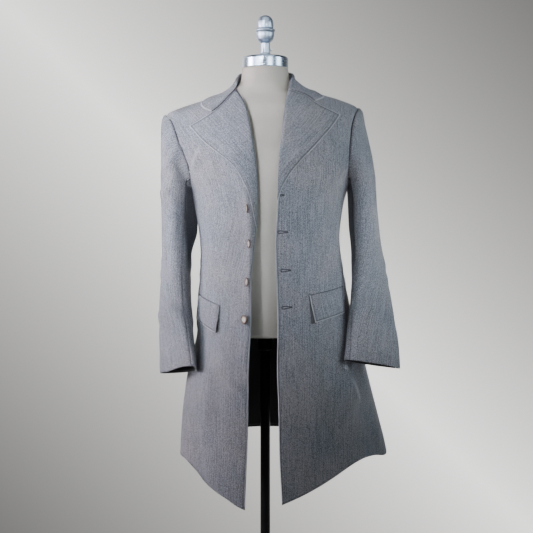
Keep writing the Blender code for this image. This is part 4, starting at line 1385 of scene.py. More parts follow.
liningCloth = {
    "colour": (0.0075, 0.0075, 0.0085, 1), "rough": (0.36, 0.52), "sheen": 0.15,
    "yarn": (900.0, 2400.0, 1.0), "bump": (0.3, 0.0003),
}


def makeLiningCloth(settings):
    made, tree, shader = newMaterial("black lining")
    yarn = noiseAt(tree, stretch(tree, placeOf(tree, True), settings["yarn"]), 1.0, 1.0)
    finish(tree, shader, {
        "Base Color": settings["colour"],
        "Roughness": mapRange(tree, yarn, 0.0, 1.0, *settings["rough"]),
        "Sheen Weight": settings["sheen"],
    }, yarn, *settings["bump"])
    return made


suit = makeSuitCloth(suitCloth)
lining = makeLiningCloth(liningCloth)
print("cloth finishes")


# The coat's pieces

# A place on a finished piece, by its distance from the middle and its height
def onPiece(name, x, z, out):
    points, normals = grids[name][:2]
    far = (points[..., 0] - x) ** 2 + (points[..., 2] - z) ** 2 + (points[..., 1] > 0)
    j, i = np.unravel_index(int(np.argmin(far)), far.shape)
    near, way = Vector(points[j, i]), Vector(normals[j, i])
    y = near.y - (way.x * (x - near.x) + way.z * (z - near.z)) / way.y
    return Vector((x, y, z)) + way * out, way


# Spacing of the body's fine grid, and how much deeper its creases and the sleeves' are
bodySpacing = 0.0055
bodyCreased = 1.25

# The flat cut of each sheet: widest, longest and its area
cutSizes = {row.pop("piece"): row for row in table(
    "piece                width  length  area",
    ("front-right", 0.330, 1.080, 0.232),
    ("front-left", 0.410, 1.080, 0.257),
    ("back-right", 0.330, 1.050, 0.238),
    ("back-left", 0.420, 1.050, 0.268),
    ("top-sleeve-right", 0.270, 0.660, 0.128),
    ("top-sleeve-left", 0.275, 0.670, 0.130),
    ("under-sleeve-right", 0.155, 0.535, 0.064),
    ("under-sleeve-left", 0.160, 0.545, 0.065),
    ("cuff-lining-right", 0.290, 0.108, 0.030),
    ("cuff-lining-left", 0.300, 0.110, 0.031),
    ("lapel-right", 0.160, 0.370, 0.024),
    ("lapel-left", 0.145, 0.290, 0.0205),
    ("pocket-flap-right", 0.100, 0.067, 0.0063),
    ("pocket-flap-left", 0.118, 0.068, 0.0071),
    ("collar-fall", 0.530, 0.076, 0.0272),
    ("collar-stand", 0.285, 0.032, 0.0056),
    ("back-lining", 0.520, 0.300, 0.134),
)}


def joinCloth(piece, rests):
    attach(piece, "root")
    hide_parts("collar" if piece.name == "collar-fall" else piece.name.replace("-", "_"))
    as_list(rests)


def makeCloth(name, points, settings, rests, materials, closed=False):
    piece = makeWall(name, points, settings, materials, closed)
    joinCloth(piece, rests)


# How far from the middle each row of a front starts, for its weave
def startOf(points):
    return np.abs(points[:, :1, 0])


def makeFront(side, word):
    edge, seam = ("first", "last") if side == left else ("last", "first")
    rows = frontSheet(side)
    if side == right:
        rows = [row[::-1] for row in rows]
    points = refine(rows, bodySpacing, ("first",), 1.25, ("last", "top"))
    first = startOf(points)
    if side == right:
        points = points[:, ::-1]
        first = first - runsOver(points)[0][:, -1:]
    settings = {
        "wall": clothWall, "stitched": (edge,), "seams": (seam, "top"), "creased": bodyCreased,
        "start": first,
    }
    makeCloth("front-" + word, points, settings, ["form_torso"], (suit, lining))


def makeBack(side, word):
    seams = ("first", "last", "top")
    points = refine(backSheet(side), bodySpacing, (), 1.25, seams)
    settings = {"wall": clothWall, "seams": seams, "creased": bodyCreased}
    makeCloth("back-" + word, points, settings, ["form_torso"], (suit, lining))


# How far the painted seam shade eases below the armpit on each sleeve
forearmEase = {right: 0.0014, left: 0.0024}


def makeSleeve(side, word, part, first, last):
    seams = ("first", "last", "top")
    points = refine(sleeveSheet(side, first, last), 0.005, (), 1.2, seams)
    # The sleeve's dark beside the body is painted shade
    settings = {
        "wall": clothWall, "seams": seams, "creased": bodyCreased, "lowEase": forearmEase[side],
        "dark": paintedShadeBeside(side, points, paintedSleeveShade),
    }
    if side == right:
        points = raiseCuff(bunchSleeve(points, underArm), cuffRise)
    makeCloth(f"{part}-sleeve-{word}", points, settings, ["form_torso"], (suit, lining))


def makeCuffLining(side, word):
    points = refine([row + row[:1] for row in cuffSheet(side)], 0.005)[:, :-1]
    if side == right:
        points = raiseCuff(points, cuffRise)
    settings, rests = {"wall": liningWall}, ["top_sleeve_" + word]
    makeCloth("cuff-lining-" + word, points, settings, rests, (lining,), closed=True)


def makeLapel(side, word):
    edges = ("last" if side == left else "first", "top")
    points = refine(lapelSheet(side, lapelRoll), 0.0040, edges, 1.1)
    settings = {"wall": turnedWall, "stitched": edges, "turnWeave": side == left}
    makeCloth("lapel-" + word, points, settings, ["front_" + word], (suit,))


def makeCollar():
    edges = ("last", "foot", "top")
    settings = {
        "wall": turnedWall, "stitched": edges, "seams": ("first",), "seamTop": 1.5125, "deep": True,
        "outwards": -1,
    }
    points = refine(collarSheet(), 0.0042, edges)
    makeCloth("collar-fall", points, settings, ["collar_stand"], (suit,))


def makeStand():
    settings, rests = {"wall": turnedWall, "outwards": -1}, ["back_right", "back_left"]
    makeCloth("collar-stand", refine(standSheet(), 0.005), settings, rests, (suit,))


# How far the right flap's lower fore corner stands off, and over which widths and heights
flapLift = {"lift": 0.0040, "across": (0.118, 0.165), "up": (-0.985, -0.925)}


def makeFlap(side, word, raised):
    sides = ("first", "last", "foot")
    points = refine(flapSheet(side), 0.0042, sides, 1.0, ("top",))
    if side == right:
        share = 1 - softStep(-points[..., 0], *raised["across"])
        share = share * softStep(-points[..., 2], *raised["up"])
        points[..., 1] -= raised["lift"] * share
    settings = {"wall": turnedWall, "stitched": sides, "seams": ("top",), "deep": True}
    makeCloth("pocket-flap-" + word, points, settings, ["front_" + word], (suit,))


flapLining = {
    "top": (0.1035, 1.000), "foot": (0.1085, 0.934), "under": 0.005, "wall": 0.0003, "out": 0.0004,
    "across": (0.0, 0.35, 0.7, 1.0), "steps": 15,
}


# The lining that shows as a thin wedge beside the left flap's fore edge
def makeFlapLining(settings):
    topFront, _, _, footFront = flapCorners[left]
    out = settings["out"] + settings["wall"]
    rows = []
    for t in np.linspace(0, 1, settings["steps"]):
        outer, z = (mix(foot, top, t) for foot, top in zip(settings["foot"], settings["top"]))
        inner = mix(footFront[0], topFront[0], t) + settings["under"]
        places = [mix(outer, inner, u) for u in settings["across"]]
        rows.append([tuple(onPiece("front-left", x, z, out)[0]) for x in places])
    plain = {"wall": settings["wall"], "creased": 0.0, "waved": 0.0}
    piece = makeWall("flap-lining-left", np.array(rows), plain, (lining,))
    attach(piece, "root")


def makeBackLining():
    rests = ["back_right", "back_left"]
    makeCloth("back-lining", refine(liningSheet(), 0.006), {"wall": liningWall}, rests, (lining,))


for side, word in ((right, "right"), (left, "left")):
    makeFront(side, word)
    makeBack(side, word)
    makeSleeve(side, word, "top", hindarmSeam - 360, forearmSeam)
    makeSleeve(side, word, "under", forearmSeam, hindarmSeam)
    makeCuffLining(side, word)
    makeLapel(side, word)
    makeFlap(side, word, flapLift)
makeCollar()
makeStand()
makeBackLining()
makeFlapLining(flapLining)
print("cloth pieces")


# Stitching

strayTurn = 0.12  # how far a thread may turn from its line


# One short thread at every step along the given lines, lying on the cloth
def makeStitchTree():
    tree, given, out = newGroup("stitches", (
        ("Lines", "NodeSocketGeometry", None),
        ("Spacing", "NodeSocketFloat", 0.003),
        ("Length", "NodeSocketFloat", 0.002),
        ("Thread", "NodeSocketFloat", 0.0003),
        ("Turn", "NodeSocketFloat", 0.0),
        ("Seed", "NodeSocketInt", 4),
        ("Finish", "NodeSocketMaterial", None),
    ), (("Stitches", "NodeSocketGeometry"),), "GeometryNodeTree")

    def first(kind, inputs=(), **settings):
        return node(tree, kind, inputs, **settings).outputs[0]

    curve = first("GeometryNodeMeshToCurve", {"Mesh": given["Lines"]})
    spaced = {"Curve": curve, "Length": given["Spacing"]}
    steps = first("GeometryNodeResampleCurve", spaced, mode="LENGTH")
    bead = first("GeometryNodeMeshUVSphere", {"Segments": 6, "Rings": 5, "Radius": 0.5})
    outwards = {"Name": "outwards"}
    outwards = first("GeometryNodeInputNamedAttribute", outwards, data_type="FLOAT_VECTOR")
    upright = first("FunctionNodeAlignRotationToVector", {"Vector": outwards}, axis="Z")
    along = first("FunctionNodeAlignRotationToVector", {
        "Rotation": upright, "Vector": first("GeometryNodeInputTangent"),
    }, axis="X", pivot_axis="Z")
    strays = {"Seed": given["Seed"], 2: -strayTurn, 3: strayTurn}
    stray = node(tree, "FunctionNodeRandomValue", strays, data_type="FLOAT").outputs[1]
    lean = reckon(tree, "ADD", stray, given["Turn"])
    turn = first("FunctionNodeEulerToRotation", {0: first("ShaderNodeCombineXYZ", {"Z": lean})})
    facing = first("FunctionNodeRotateRotation", {0: along, 1: turn}, rotation_space="LOCAL")
    thick = reckon(tree, "MULTIPLY", given["Thread"], 2.0)
    placed = first("GeometryNodeInstanceOnPoints", {
        "Points": steps, "Instance": bead, "Rotation": facing,
        "Scale": first("ShaderNodeCombineXYZ", {"X": given["Length"], "Y": thick, "Z": thick}),
    })
    made = first("GeometryNodeRealizeInstances", {0: placed})
    smoothed = first("GeometryNodeSetShadeSmooth", {0: made})
    painted = first("GeometryNodeSetMaterial", {"Geometry": smoothed, "Material": given["Finish"]})
    fill(tree, out, {0: painted})
    return tree


stitchTree = makeStitchTree()


# Makes what a piece's modifiers show its own mesh
def keepShape(piece):
    bpy.context.view_layer.update()
    shown = piece.evaluated_get(bpy.context.evaluated_depsgraph_get())
    shape = bpy.data.meshes.new_from_object(shown)
    piece.modifiers.clear()
    piece.data = shape


# Turns lines of (place, outwards) pairs into threads
def sew(name, lines, settings, thread):
    places, outwards, edges = [], [], []
    for line in lines:
        edges += [(len(places) + i, len(places) + i + 1) for i in range(len(line) - 1)]
        places += [tuple(place) for place, _ in line]
        outwards += [tuple(way) for _, way in line]
    mesh = bpy.data.meshes.new(name + "-lines")
    mesh.from_pydata(places, edges, [])
    ways = mesh.attributes.new("outwards", "FLOAT_VECTOR", "POINT")
    ways.data.foreach_set("vector", np.array(outwards, dtype=np.float32).ravel())
    piece = newPiece(name, mesh)
    threads = piece.modifiers.new("stitches", "NODES")
    threads.node_group = stitchTree
    items = stitchTree.interface.items_tree
    sockets = {item.name: item.identifier for item in items if item.in_out == "INPUT"}
    for label, value in {**settings, "Finish": thread}.items():
        threads[sockets[label]] = value
    keepShape(piece)
    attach(piece, "root")


# The line that runs a set way in from one side of a piece, clear of its other finished sides
def lineAlong(name, side, others, low=0.0, high=math.inf):
    points, normals, across, up = grids[name]
    inwards = finishedEdge["grooveAt"]
    far = side in ("last", "top")
    order = slice(None, None, -1 if far else 1)
    away, clear = up if side in ("foot", "top") else across, fromSides(across, up, others)
    if side in ("first", "last"):
        away, clear, points, normals = (
            grid.swapaxes(0, 1) for grid in (away, clear, points, normals)
        )
    line = []
    for k in range(points.shape[1]):
        run = away[:, k]
        if far:
            run = run[-1] - run[::-1]
        place, way = (
            Vector([float(np.interp(inwards, run, grid[order, k, c])) for c in range(3)])
            for grid in (points, normals)
        )
        if np.interp(inwards, run, clear[order, k]) >= inwards * 0.98 and low < place.z < high:
            line.append((place, way.normalized()))
    return line


threadSettings = {"grey": (0.150, 0.152, 0.165, 1), "black": (0.006, 0.006, 0.007, 1)}


def makeThread(name, colour):
    made, tree, shader = newMaterial(name)
    twist = {"Vector": placeOf(tree), "Scale": 900.0}
    twist = node(tree, "ShaderNodeTexWave", twist, bands_direction="DIAGONAL")
    finish(tree, shader, {"Base Color": colour, "Roughness": 0.6, "Sheen Weight": 0.2},
           twist.outputs[1], 0.25, 0.0002)
    return made


greyThread = makeThread("grey thread", threadSettings["grey"])
blackThread = makeThread("black thread", threadSettings["black"])

topstitch = {"Spacing": 0.0031, "Length": 0.0023, "Thread": 0.00028, "Turn": 0.0, "Seed": 7}
sew("topstitching", [
    lineAlong("front-right", "last", (), 0.0, 1.150),
    lineAlong("front-left", "first", (), 0.0, 1.222),
    lineAlong("lapel-right", "first", ("top",)),
    lineAlong("lapel-right", "top", ("first",)),
    lineAlong("lapel-left", "last", ("top",)),
    lineAlong("lapel-left", "top", ("last",)),
    lineAlong("collar-fall", "last", ()),
    *(lineAlong("pocket-flap-" + word, side, tuple({"first", "last", "foot"} - {side}))
      for word in ("right", "left") for side in ("first", "last", "foot")),
], topstitch, greyThread)

# Buttonholes of the left front: where each starts by the edge, its height, where its stitches show
# from, and how far its tail rises
holes = table(
    "x       z      shows   rise",
    (0.0215, 1.2370, 0.0350, 0.0010),
    (0.0300, 1.1510, 0.0000, 0.0000),
    (0.0370, 1.0600, 0.0000, 0.0010),
    (0.0395, 0.9730, 0.0000, 0.0012),
)
holeSettings = {"length": 0.0240, "halfHeight": 0.0030, "tail": 0.0007, "out": 0.0003}


# The outline of a keyhole, from its tail round the eyelet and back
def holeLine(hole, settings):
    length, half, tail = settings["length"], settings["halfHeight"], settings["tail"]
    outline = [
        (length * (1 - t) + half * t, mix(tail, half, fade(t, 0.0, 0.9)))
        for t in np.linspace(0, 1, 25)
    ]
    lower = [(a, -b) for a, b in outline[::-1]]
    for turn in np.radians(np.linspace(90, 270, 13)[1:-1]):
        outline.append((half * (1 + math.cos(turn)), half * math.sin(turn)))
    line = []
    for a, b in outline + lower:
        x, z = hole["x"] + a, hole["z"] + b + hole["rise"] * a / length
        if x >= hole["shows"]:
            line.append(onPiece("front-left", x, z, settings["out"]))
    return line


bars = {"Spacing": 0.00050, "Length": 0.0028, "Thread": 0.00046, "Turn": math.pi / 2, "Seed": 3}
holeLines = [holeLine(hole, holeSettings) for hole in holes]
sew("buttonholes", holeLines, bars, blackThread)
print("stitching")


# Turned pieces

# The profile with its corners rounded, from top to bottom
def roundCorners(profile, radius, steps=5):
    points = [Vector(point) for point in profile]
    rounded = [points[0]]
    for before, corner, after in zip(points, points[1:], points[2:]):
        reach = min(radius, (corner - before).length * 0.45, (after - corner).length * 0.45)
        start = corner + (before - corner).normalized() * reach
        end = corner + (after - corner).normalized() * reach
        for i in range(steps + 1):
            t = i / steps
            rounded.append(start.lerp(corner, t).lerp(corner.lerp(end, t), t))
    return rounded + [points[-1]]


# A smooth piece from a shape under construction
def pieceFrom(name, shape, material):
    mesh = bpy.data.meshes.new(name)
    shape.to_mesh(mesh)
    shape.free()
    mesh.shade_smooth()
    return newPiece(name, mesh, material)


def turnedMesh(name, profile, radius, steps, material):
    shape = bmesh.new()
    rings = []
    for out, height in roundCorners(profile, radius):
        turns = [2 * math.pi * i / steps for i in range(steps)] if out >= 1e-7 else [0.0]
        places = [(out * math.cos(turn), out * math.sin(turn), height) for turn in turns]
        rings.append([shape.verts.new(place) for place in places])
    for high, low in zip(rings, rings[1:]):
        for i in range(steps):
            k = (i + 1) % steps
            if len(high) == 1:
                shape.faces.new((high[0], low[i], low[k]))
            elif len(low) == 1:
                shape.faces.new((high[i], low[0], high[k]))
            else:
                shape.faces.new((high[i], low[i], low[k], high[k]))
    bmesh.ops.recalc_face_normals(shape, faces=shape.faces)
    return pieceFrom(name, shape, material)


# Cuts round holes out of a piece, at the given places
def cutHoles(piece, places, material, segments, radius, depth):
    shape = bmesh.new()
    for place in places:
        bmesh.ops.create_cone(shape, cap_ends=True, segments=segments, radius1=radius,
                              radius2=radius, depth=depth, matrix=place)
    data = bpy.data.meshes.new("holes")
    shape.to_mesh(data)
    shape.free()
    cutter = newPiece("holes", data, material)
    cut = piece.modifiers.new("cut", "BOOLEAN")
    cut.object = cutter
    cut.solver = "EXACT"
    cut.material_mode = "TRANSFER"
    keepShape(piece)
    bpy.data.objects.remove(cutter)


def joinHard(piece, node, slot):
    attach(piece, "root")
    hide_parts(node)


# The finial is duller than the cap
steelSettings = {
    "colour": (0.54, 0.62, 0.74, 1), "rough": (0.20, 0.34), "change": 0.004,
    "uneven": 0.12, "marks": 700.0,
}


def makeSteel(settings):
    made, tree, shader = newMaterial("brushed steel")
    x, y, z = node(tree, "ShaderNodeSeparateXYZ", {0: placeOf(tree)}).outputs
    flat = node(tree, "ShaderNodeCombineXYZ", {"X": x, "Y": y}).outputs[0]
    out = node(tree, "ShaderNodeVectorMath", {0: flat}, operation="LENGTH").outputs["Value"]
    lathe = node(tree, "ShaderNodeCombineXYZ", {"X": out, "Y": z}).outputs[0]
    marks = noiseAt(tree, stretch(tree, lathe, (settings["marks"],) * 3), 1.0, 3.0)
    rough = mapRange(tree, z, capTop, capTop + settings["change"], *settings["rough"])
    finish(tree, shader, {
        "Base Color": settings["colour"],
        "Metallic": 1.0,
        "Roughness": reckon(tree, "MULTIPLY_ADD", marks, settings["uneven"], rough),
    }, marks, 0.12, 0.0002)
    return made


blackMetalSettings = {"colour": (0.012, 0.012, 0.013, 1), "rough": 0.34}


def makeBlackMetal(settings):
    made, tree, shader = newMaterial("black metal")
    finish(tree, shader, {
        "Base Color": settings["colour"], "Metallic": 0.6, "Roughness": settings["rough"],
    }, noiseAt(tree, placeOf(tree), 900.0, 2.0), 0.1, 0.0002)
    return made


coverSettings = {"light": (0.66, 0.62, 0.53, 1), "dark": (0.50, 0.46, 0.38, 1), "speck": 900.0}


def makeCover(settings):
    made, tree, shader = newMaterial("form cover")
    given = {"Place": placeOf(tree), "Speck": settings["speck"]}
    specks = node(tree, "ShaderNodeGroup", given, node_tree=tone).outputs["Specks"]
    colour = blendColours(tree, specks, settings["dark"], settings["light"])
    finish(tree, shader, {"Base Color": colour, "Roughness": 0.9}, specks, 0.3, 0.0004)
    return made


hornSettings = {
    "light": (0.66, 0.61, 0.53, 1),
    "middle": (0.42, 0.33, 0.24, 1),
    "dark": (0.075, 0.038, 0.020, 1),
    "streaks": (0.34, 0.56),
    "rim": (0.84, 1.10),
    "sockets": {
        "Roughness": 0.28, "Coat Weight": 0.25, "Coat Roughness": 0.15,
        "Subsurface Weight": 0.1, "Subsurface Radius": (0.002, 0.0015, 0.001),
    },
}


def makeHorn(settings):
    made, tree, shader = newMaterial("horn")
    streaks = noiseAt(tree, placeOf(tree), 160.0, 3.0, distortion=1.5)
    share = mapRange(tree, streaks, *settings["streaks"])
    colour = blendColours(tree, share, settings["middle"], settings["light"])
    outer = node(tree, "ShaderNodeAttribute", attribute_name="fromMiddle").outputs["Fac"]
    rim = mapRange(tree, reckon(tree, "MULTIPLY_ADD", streaks, 0.9, outer), *settings["rim"])
    colour = blendColours(tree, rim, colour, settings["dark"])
    fill(tree, shader, {"Base Color": colour, **settings["sockets"]})
    return made


steel = makeSteel(steelSettings)
blackMetal = makeBlackMetal(blackMetalSettings)
cover = makeCover(coverSettings)
horn = makeHorn(hornSettings)

metalSettings = {"clear": 0.0003, "steps": 96}


def makeMetalwork(settings):
    clear = settings["clear"]
    capFoot, foot = formNeck + clear, capTop + clear
    under = formFoot - clear
    shapes = (
        ("neck_cap", "steel", steel, 0.0016, (
            (0, capTop), (0.040, capTop), (0.0535, capTop - 0.002), (capRadius, capTop - 0.006),
            (capRadius, capFoot), (0, capFoot))),
        ("finial_stem", "steel", steel, 0.0016, (
            (0, 1.6105), (0.0115, 1.6105), (0.0118, 1.586), (0.0150, 1.5825), (0.0150, foot),
            (0, foot))),
        ("finial_cup", "steel", steel, 0.0020, (
            (0, 1.6435), (0.0235, 1.6435), (0.0250, 1.641), (0.0240, 1.6385), (0.0222, 1.6350),
            (0.0218, 1.6270), (0.0198, 1.6190), (0.0160, 1.6135), (0.0125, 1.611), (0, 1.611))),
        ("finial_dome", "steel", steel, 0.0040, (
            (0, 1.678), (0.0085, 1.6765), (0.0155, 1.6715), (0.0195, 1.664), (0.0205, 1.655),
            (0.0200, 1.6438), (0, 1.6438))),
        ("pole", "black_metal", blackMetal, 0.0015, (
            (0, under), (0.045, under), (0.045, formFoot - 0.006), (0.020, formFoot - 0.012),
            (0.018, formFoot - 0.045), (poleRadius, formFoot - 0.048), (poleRadius, 0.0803),
            (0, 0.0803))),
        ("base", "black_metal", blackMetal, 0.0040, (
            (0, 0.080), (0.019, 0.080), (0.022, 0.076), (0.026, 0.040), (0.045, 0.026),
            (0.110, 0.018), (baseRadius - 0.012, 0.013), (baseRadius, 0.007), (baseRadius, 0),
            (0, 0))),
    )
    for name, slot, material, radius, profile in shapes:
        pieceName = "form-" + name.replace("_", "-")
        joinHard(turnedMesh(pieceName, profile, radius, settings["steps"], material), name, slot)


stemScrew = {"place": (-0.0041, -0.0113, 1.5881), "radius": 0.0013, "deep": 0.003, "segments": 20}
stemKnob = {
    "z": 1.5927, "from": 0.0112, "to": 0.0166, "radius": 0.0023, "rounding": 0.0006, "steps": 24,
}


# The set screw's hole in the finial's stem
def drillStem(settings):
    way = Matrix.Translation(settings["place"]) @ Matrix.Rotation(math.pi / 2, 4, "X")
    cutHoles(bpy.data.objects["form-finial-stem"], [way], blackMetal, settings["segments"],
             settings["radius"], 2 * settings["deep"])


# The small knob on its side
def makeKnob(settings):
    radius, long = settings["radius"], settings["to"] - settings["from"]
    profile = (
        (0, long), (radius * 0.7, long), (radius, long * 0.75), (radius, long * 0.35),
        (radius * 0.6, 0), (0, 0),
    )
    knob = turnedMesh("form-knob", profile, settings["rounding"], settings["steps"], steel)
    place = Matrix.Translation((settings["from"], 0, settings["z"]))
    knob.data.transform(place @ Matrix.Rotation(math.pi / 2, 4, "Y"))
    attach(knob, "root")


makeMetalwork(metalSettings)
drillStem(stemScrew)
makeKnob(stemKnob)
print("metalwork")


# Dress form

# The form's half width, held just under the coat's shoulders
def formWidth(side, z, settings):
    width = smooth(formRings, "z", "width")(z)
    low, high = settings["shoulders"]
    return min(width, body[side](z + formRest)) if low < z < high else width


# The form's rows below and above the chest, its squareness, and where its shoulders are held
formSettings = {
    "sides": 96, "chest": 1.42, "low": 60, "high": 40,
    "square": (2.3, 2.0), "squareFrom": (1.46, 1.52), "shoulders": (shoulder[right] - 0.01, 1.515),
}


def makeForm(settings):
    sides = settings["sides"]
    low, high = settings["low"], settings["high"]
    levels = [mix(formFoot, settings["chest"], share) for share in even(low)[:-1]]
    levels += [mix(settings["chest"], formNeck, share) for share in even(high)]
    depths = {face: smooth(formRings, "z", face) for face in ("front", "back")}
    shape = bmesh.new()
    rings = []
    for z in levels:
        ring = []
        square = mix(*settings["square"], fade(z, *settings["squareFrom"]))
        for i in range(sides):
            turn = 360 * (i + 0.5) / sides
            side, angle = (left, turn) if turn < 180 else (right, 360 - turn)
            depth = depths["front" if angle <= 90 else "back"](z)
            point = ringPoint(formWidth(side, z, settings), depth, square, side, angle, z)
            ring.append(shape.verts.new(point))
        rings.append(ring)
    for low, high in zip(rings, rings[1:]):
        for i in range(sides):
            k = (i + 1) % sides
            shape.faces.new((low[i], low[k], high[k], high[i]))
    shape.faces.new(rings[0][::-1])
    shape.faces.new(rings[-1])
    piece = pieceFrom("form-torso", shape, cover)
    joinHard(piece, "form_torso", "form_cover")


makeForm(formSettings)
print("dress form")


# Buttons

buttonSettings = {
    "holesOut": 0.0021, "holeRadius": 0.0009, "holeAt": 0.0011, "through": 0.006,
    "rounding": 0.0012,
}


def makeButton(number, place, settings):
    rim, height, out = buttonRadius, buttonHeight, settings["holesOut"]
    profile = (
        (0, height * 0.58), (rim * 0.45, height * 0.60), (rim * 0.62, height * 0.80),
        (rim * 0.76, height), (rim * 0.9, height * 0.92), (rim, height * 0.5), (rim * 0.86, 0.0),
        (0, 0.0),
    )
    piece = turnedMesh(f"button-{number}", profile, settings["rounding"], 48, horn)
    turns = [math.radians(45 + 90 * i) for i in range(4)]
    middles = [
        Matrix.Translation((out * math.cos(turn), out * math.sin(turn), settings["holeAt"]))
        for turn in turns
    ]
    cutHoles(piece, middles, horn, 14, settings["holeRadius"], settings["through"])
    shape = piece.data
    outer = shape.attributes.new("fromMiddle", "FLOAT", "POINT")
    shares = [math.hypot(vertex.co.x, vertex.co.y) / rim for vertex in shape.vertices]
    outer.data.foreach_set("value", shares)
    angle = angleAt(right, place["x"], place["z"])
    foot = onBody(right, angle, place["z"])
    outwards = (onBody(right, angle, place["z"], 0.01) - foot).normalized()
    face = Matrix.Rotation(math.radians(-place["turn"]), 3, "Z") @ outwards
    stand = face.to_track_quat("Z", "Y").to_matrix().to_4x4()
    stand.translation = onBody(right, angle, place["z"], place["lift"])
    shape.transform(stand)
    joinHard(piece, f"button_{number}", "horn")
    return stand, foot


shankSettings = {"across": 0.0015, "along": 0.0019, "height": 0.66, "behind": 0.0004, "out": 0.0006}


# Two threads over the holes of each button, and the shank that holds it to the cloth
def buttonThreads(stand, foot, settings):
    turned = stand.to_3x3()
    side, out = turned.col[0], turned.col[2]
    along, height = settings["along"], buttonHeight * settings["height"]
    lines = [
        [(stand @ Vector((x, across, height)), out) for x in (-along, along)]
        for across in (-settings["across"], settings["across"])
    ]
    behind = stand @ Vector((0, 0, settings["behind"]))
    for turn in (i * math.pi / 2 for i in range(4)):
        shift = turned @ (Vector((math.cos(turn), math.sin(turn), 0)) * settings["out"])
        lines.append([(behind + shift, side), (foot + shift, side)])
    return lines


threadLines = []
for number, place in enumerate(buttonPlaces, 1):
    threadLines += buttonThreads(*makeButton(number, place, buttonSettings), shankSettings)
buttonThread = {"Spacing": 0.0005, "Length": 0.0011, "Thread": 0.00040, "Turn": 0.0, "Seed": 5}
sew("button-threads", threadLines, buttonThread, greyThread)
print("buttons")


# Stage

# The backdrop's light fades to both sides of a slanting line through its middle
stageSettings = {
    "at": 0.95, "width": 2.6, "top": 3.4, "foot": -0.01,
    "middle": 0.985, "reach": 0.93, "slant": 0.7071, "bright": 1.84, "fade": 1.47,
    "tint": {"Red": 1.0, "Green": 0.985, "Blue": 0.96},
    "floorSize": 8, "floorDark": (0.56, 0.555, 0.54, 1), "floorLight": (0.62, 0.615, 0.60, 1),
}


def makeStage(settings):
    back, wide, top, size = (settings[name] for name in ("at", "width", "top", "floorSize"))
    made, tree, shader = newMaterial("backdrop")
    x, _, z = node(tree, "ShaderNodeSeparateXYZ", {0: placeOf(tree)}).outputs
    across = reckon(tree, "DIVIDE", x, settings["reach"])
    up = reckon(tree, "DIVIDE", reckon(tree, "SUBTRACT", z, settings["middle"]), settings["reach"])
    off = reckon(tree, "MULTIPLY", reckon(tree, "ADD", across, up), settings["slant"])
    dim = reckon(tree, "MULTIPLY", reckon(tree, "ABSOLUTE", off), -settings["fade"])
    share = reckon(tree, "MULTIPLY", reckon(tree, "EXPONENT", dim), settings["bright"])
    glow = node(tree, "ShaderNodeCombineColor", {
        name: reckon(tree, "MULTIPLY", share, part) for name, part in settings["tint"].items()
    }).outputs[0]
    behind = node(tree, "ShaderNodeNewGeometry").outputs["Backfacing"]
    fill(tree, shader, {
        "Emission Color": glow, "Emission Strength": 1.0, "Base Color": (0, 0, 0, 1),
        "Specular IOR Level": 0.0, "Roughness": 1.0, "Alpha": reckon(tree, "SUBTRACT", 1.0, behind),
    })
    pale, tree, shader = newMaterial("floor")
    grain = noiseAt(tree, placeOf(tree), 2.0, 2.0)
    colour = blendColours(tree, grain, settings["floorDark"], settings["floorLight"])
    fill(tree, shader, {"Base Color": colour, "Roughness": 0.8})
    ways = ((-1, -1), (1, -1), (1, 1), (-1, 1))
    for name, material, corners in (
        ("backdrop", made, [(a * wide, back, top if b > 0 else settings["foot"]) for a, b in ways]),
        ("floor", pale, [(a * size, b * size, 0) for a, b in ways]),
    ):
        mesh = bpy.data.meshes.new(name)
        mesh.from_pydata(corners, [], [range(4)])
        newPiece(name, mesh, material)


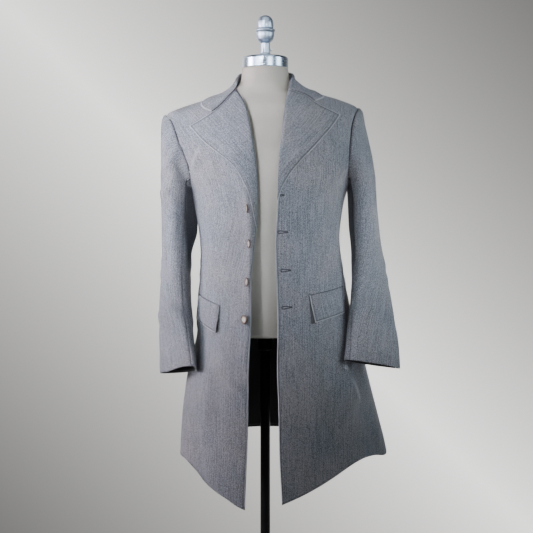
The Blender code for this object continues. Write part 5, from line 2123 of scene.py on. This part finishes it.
lamps = table(
    "name     place               aim                   size  power  spread  colour   gloss",
    ("left side", (-2.2, -0.5, 1.6), (-0.25, 0, 1.15), 0.9, 10.9, 60, (0.945, 0.883, 1), False),
    ("left sleeve", (-1.5, -2.3, 1.5), (-0.27, -0.05, 1.12), 0.35, 0.8, 15, (0.74, 0.84, 1), False),
    ("right sleeve", (1.5, -2.3, 1.5), (0.29, -0.05, 1.12), 0.35, 0.62, 15, (0.77, 0.86, 1), False),
    ("skirt", (-1.5, -2.4, 1.1), (-0.12, 0, 0.85), 0.8, 1.12, 50, (0.96, 0.94, 1), False),
    ("chest", (-0.9, -2.4, 2.2), (-0.165, 0, 1.385), 0.4, 0.98, 12.5, (0.82, 0.86, 1), False),
    ("shoulder", (-1.2, -2.3, 2.1), (-0.20, 0, 1.40), 0.3, 0.08, 10, (0.92, 0.92, 1), False),
    ("right shoulder", (1.2, -1.2, 2.7), (0.20, 0, 1.42), 0.4, 0.13, 16, (0.96, 0.99, 1), False),
    ("right side", (2.1, -0.75, 1.75), (0.24, 0, 1.22), 0.9, 2.75, 60, (0.775, 0.905, 1), False),
    ("left shine", (-1.2, -1.7, 1.75), (0, 0, 1.60), 1.1, 29, 180, (0.80, 0.91, 1), True),
    ("right shine", (0.82, -1.9, 1.70), (0, 0, 1.60), 0.7, 15, 180, (0.80, 0.91, 1), True),
    ("top shine", (0, -0.8, 3.2), (0, 0, 1.60), 2.2, 16, 180, (0.84, 0.92, 1), True),
)


skySettings = {"Color": (0.93, 0.97, 1.0, 1), "Strength": 0.048}


def makeLamps(sky):
    for lamp in lamps:
        data = bpy.data.lights.new(lamp["name"], "AREA")
        data.size, data.energy, data.color = lamp["size"], lamp["power"], lamp["colour"]
        data.spread = math.radians(lamp["spread"])
        thing = newPiece(lamp["name"], data)
        thing.visible_diffuse = not lamp["gloss"]
        thing.location = lamp["place"]
        aim = Vector(lamp["aim"]) - thing.location
        thing.rotation_euler = aim.to_track_quat("-Z", "Y").to_euler()
    world = bpy.data.worlds.new("world")
    world.use_nodes = True
    fill(world.node_tree, world.node_tree.nodes["Background"].inputs, sky)
    bpy.context.scene.world = world


makeStage(stageSettings)
makeLamps(skySettings)
print("stage")
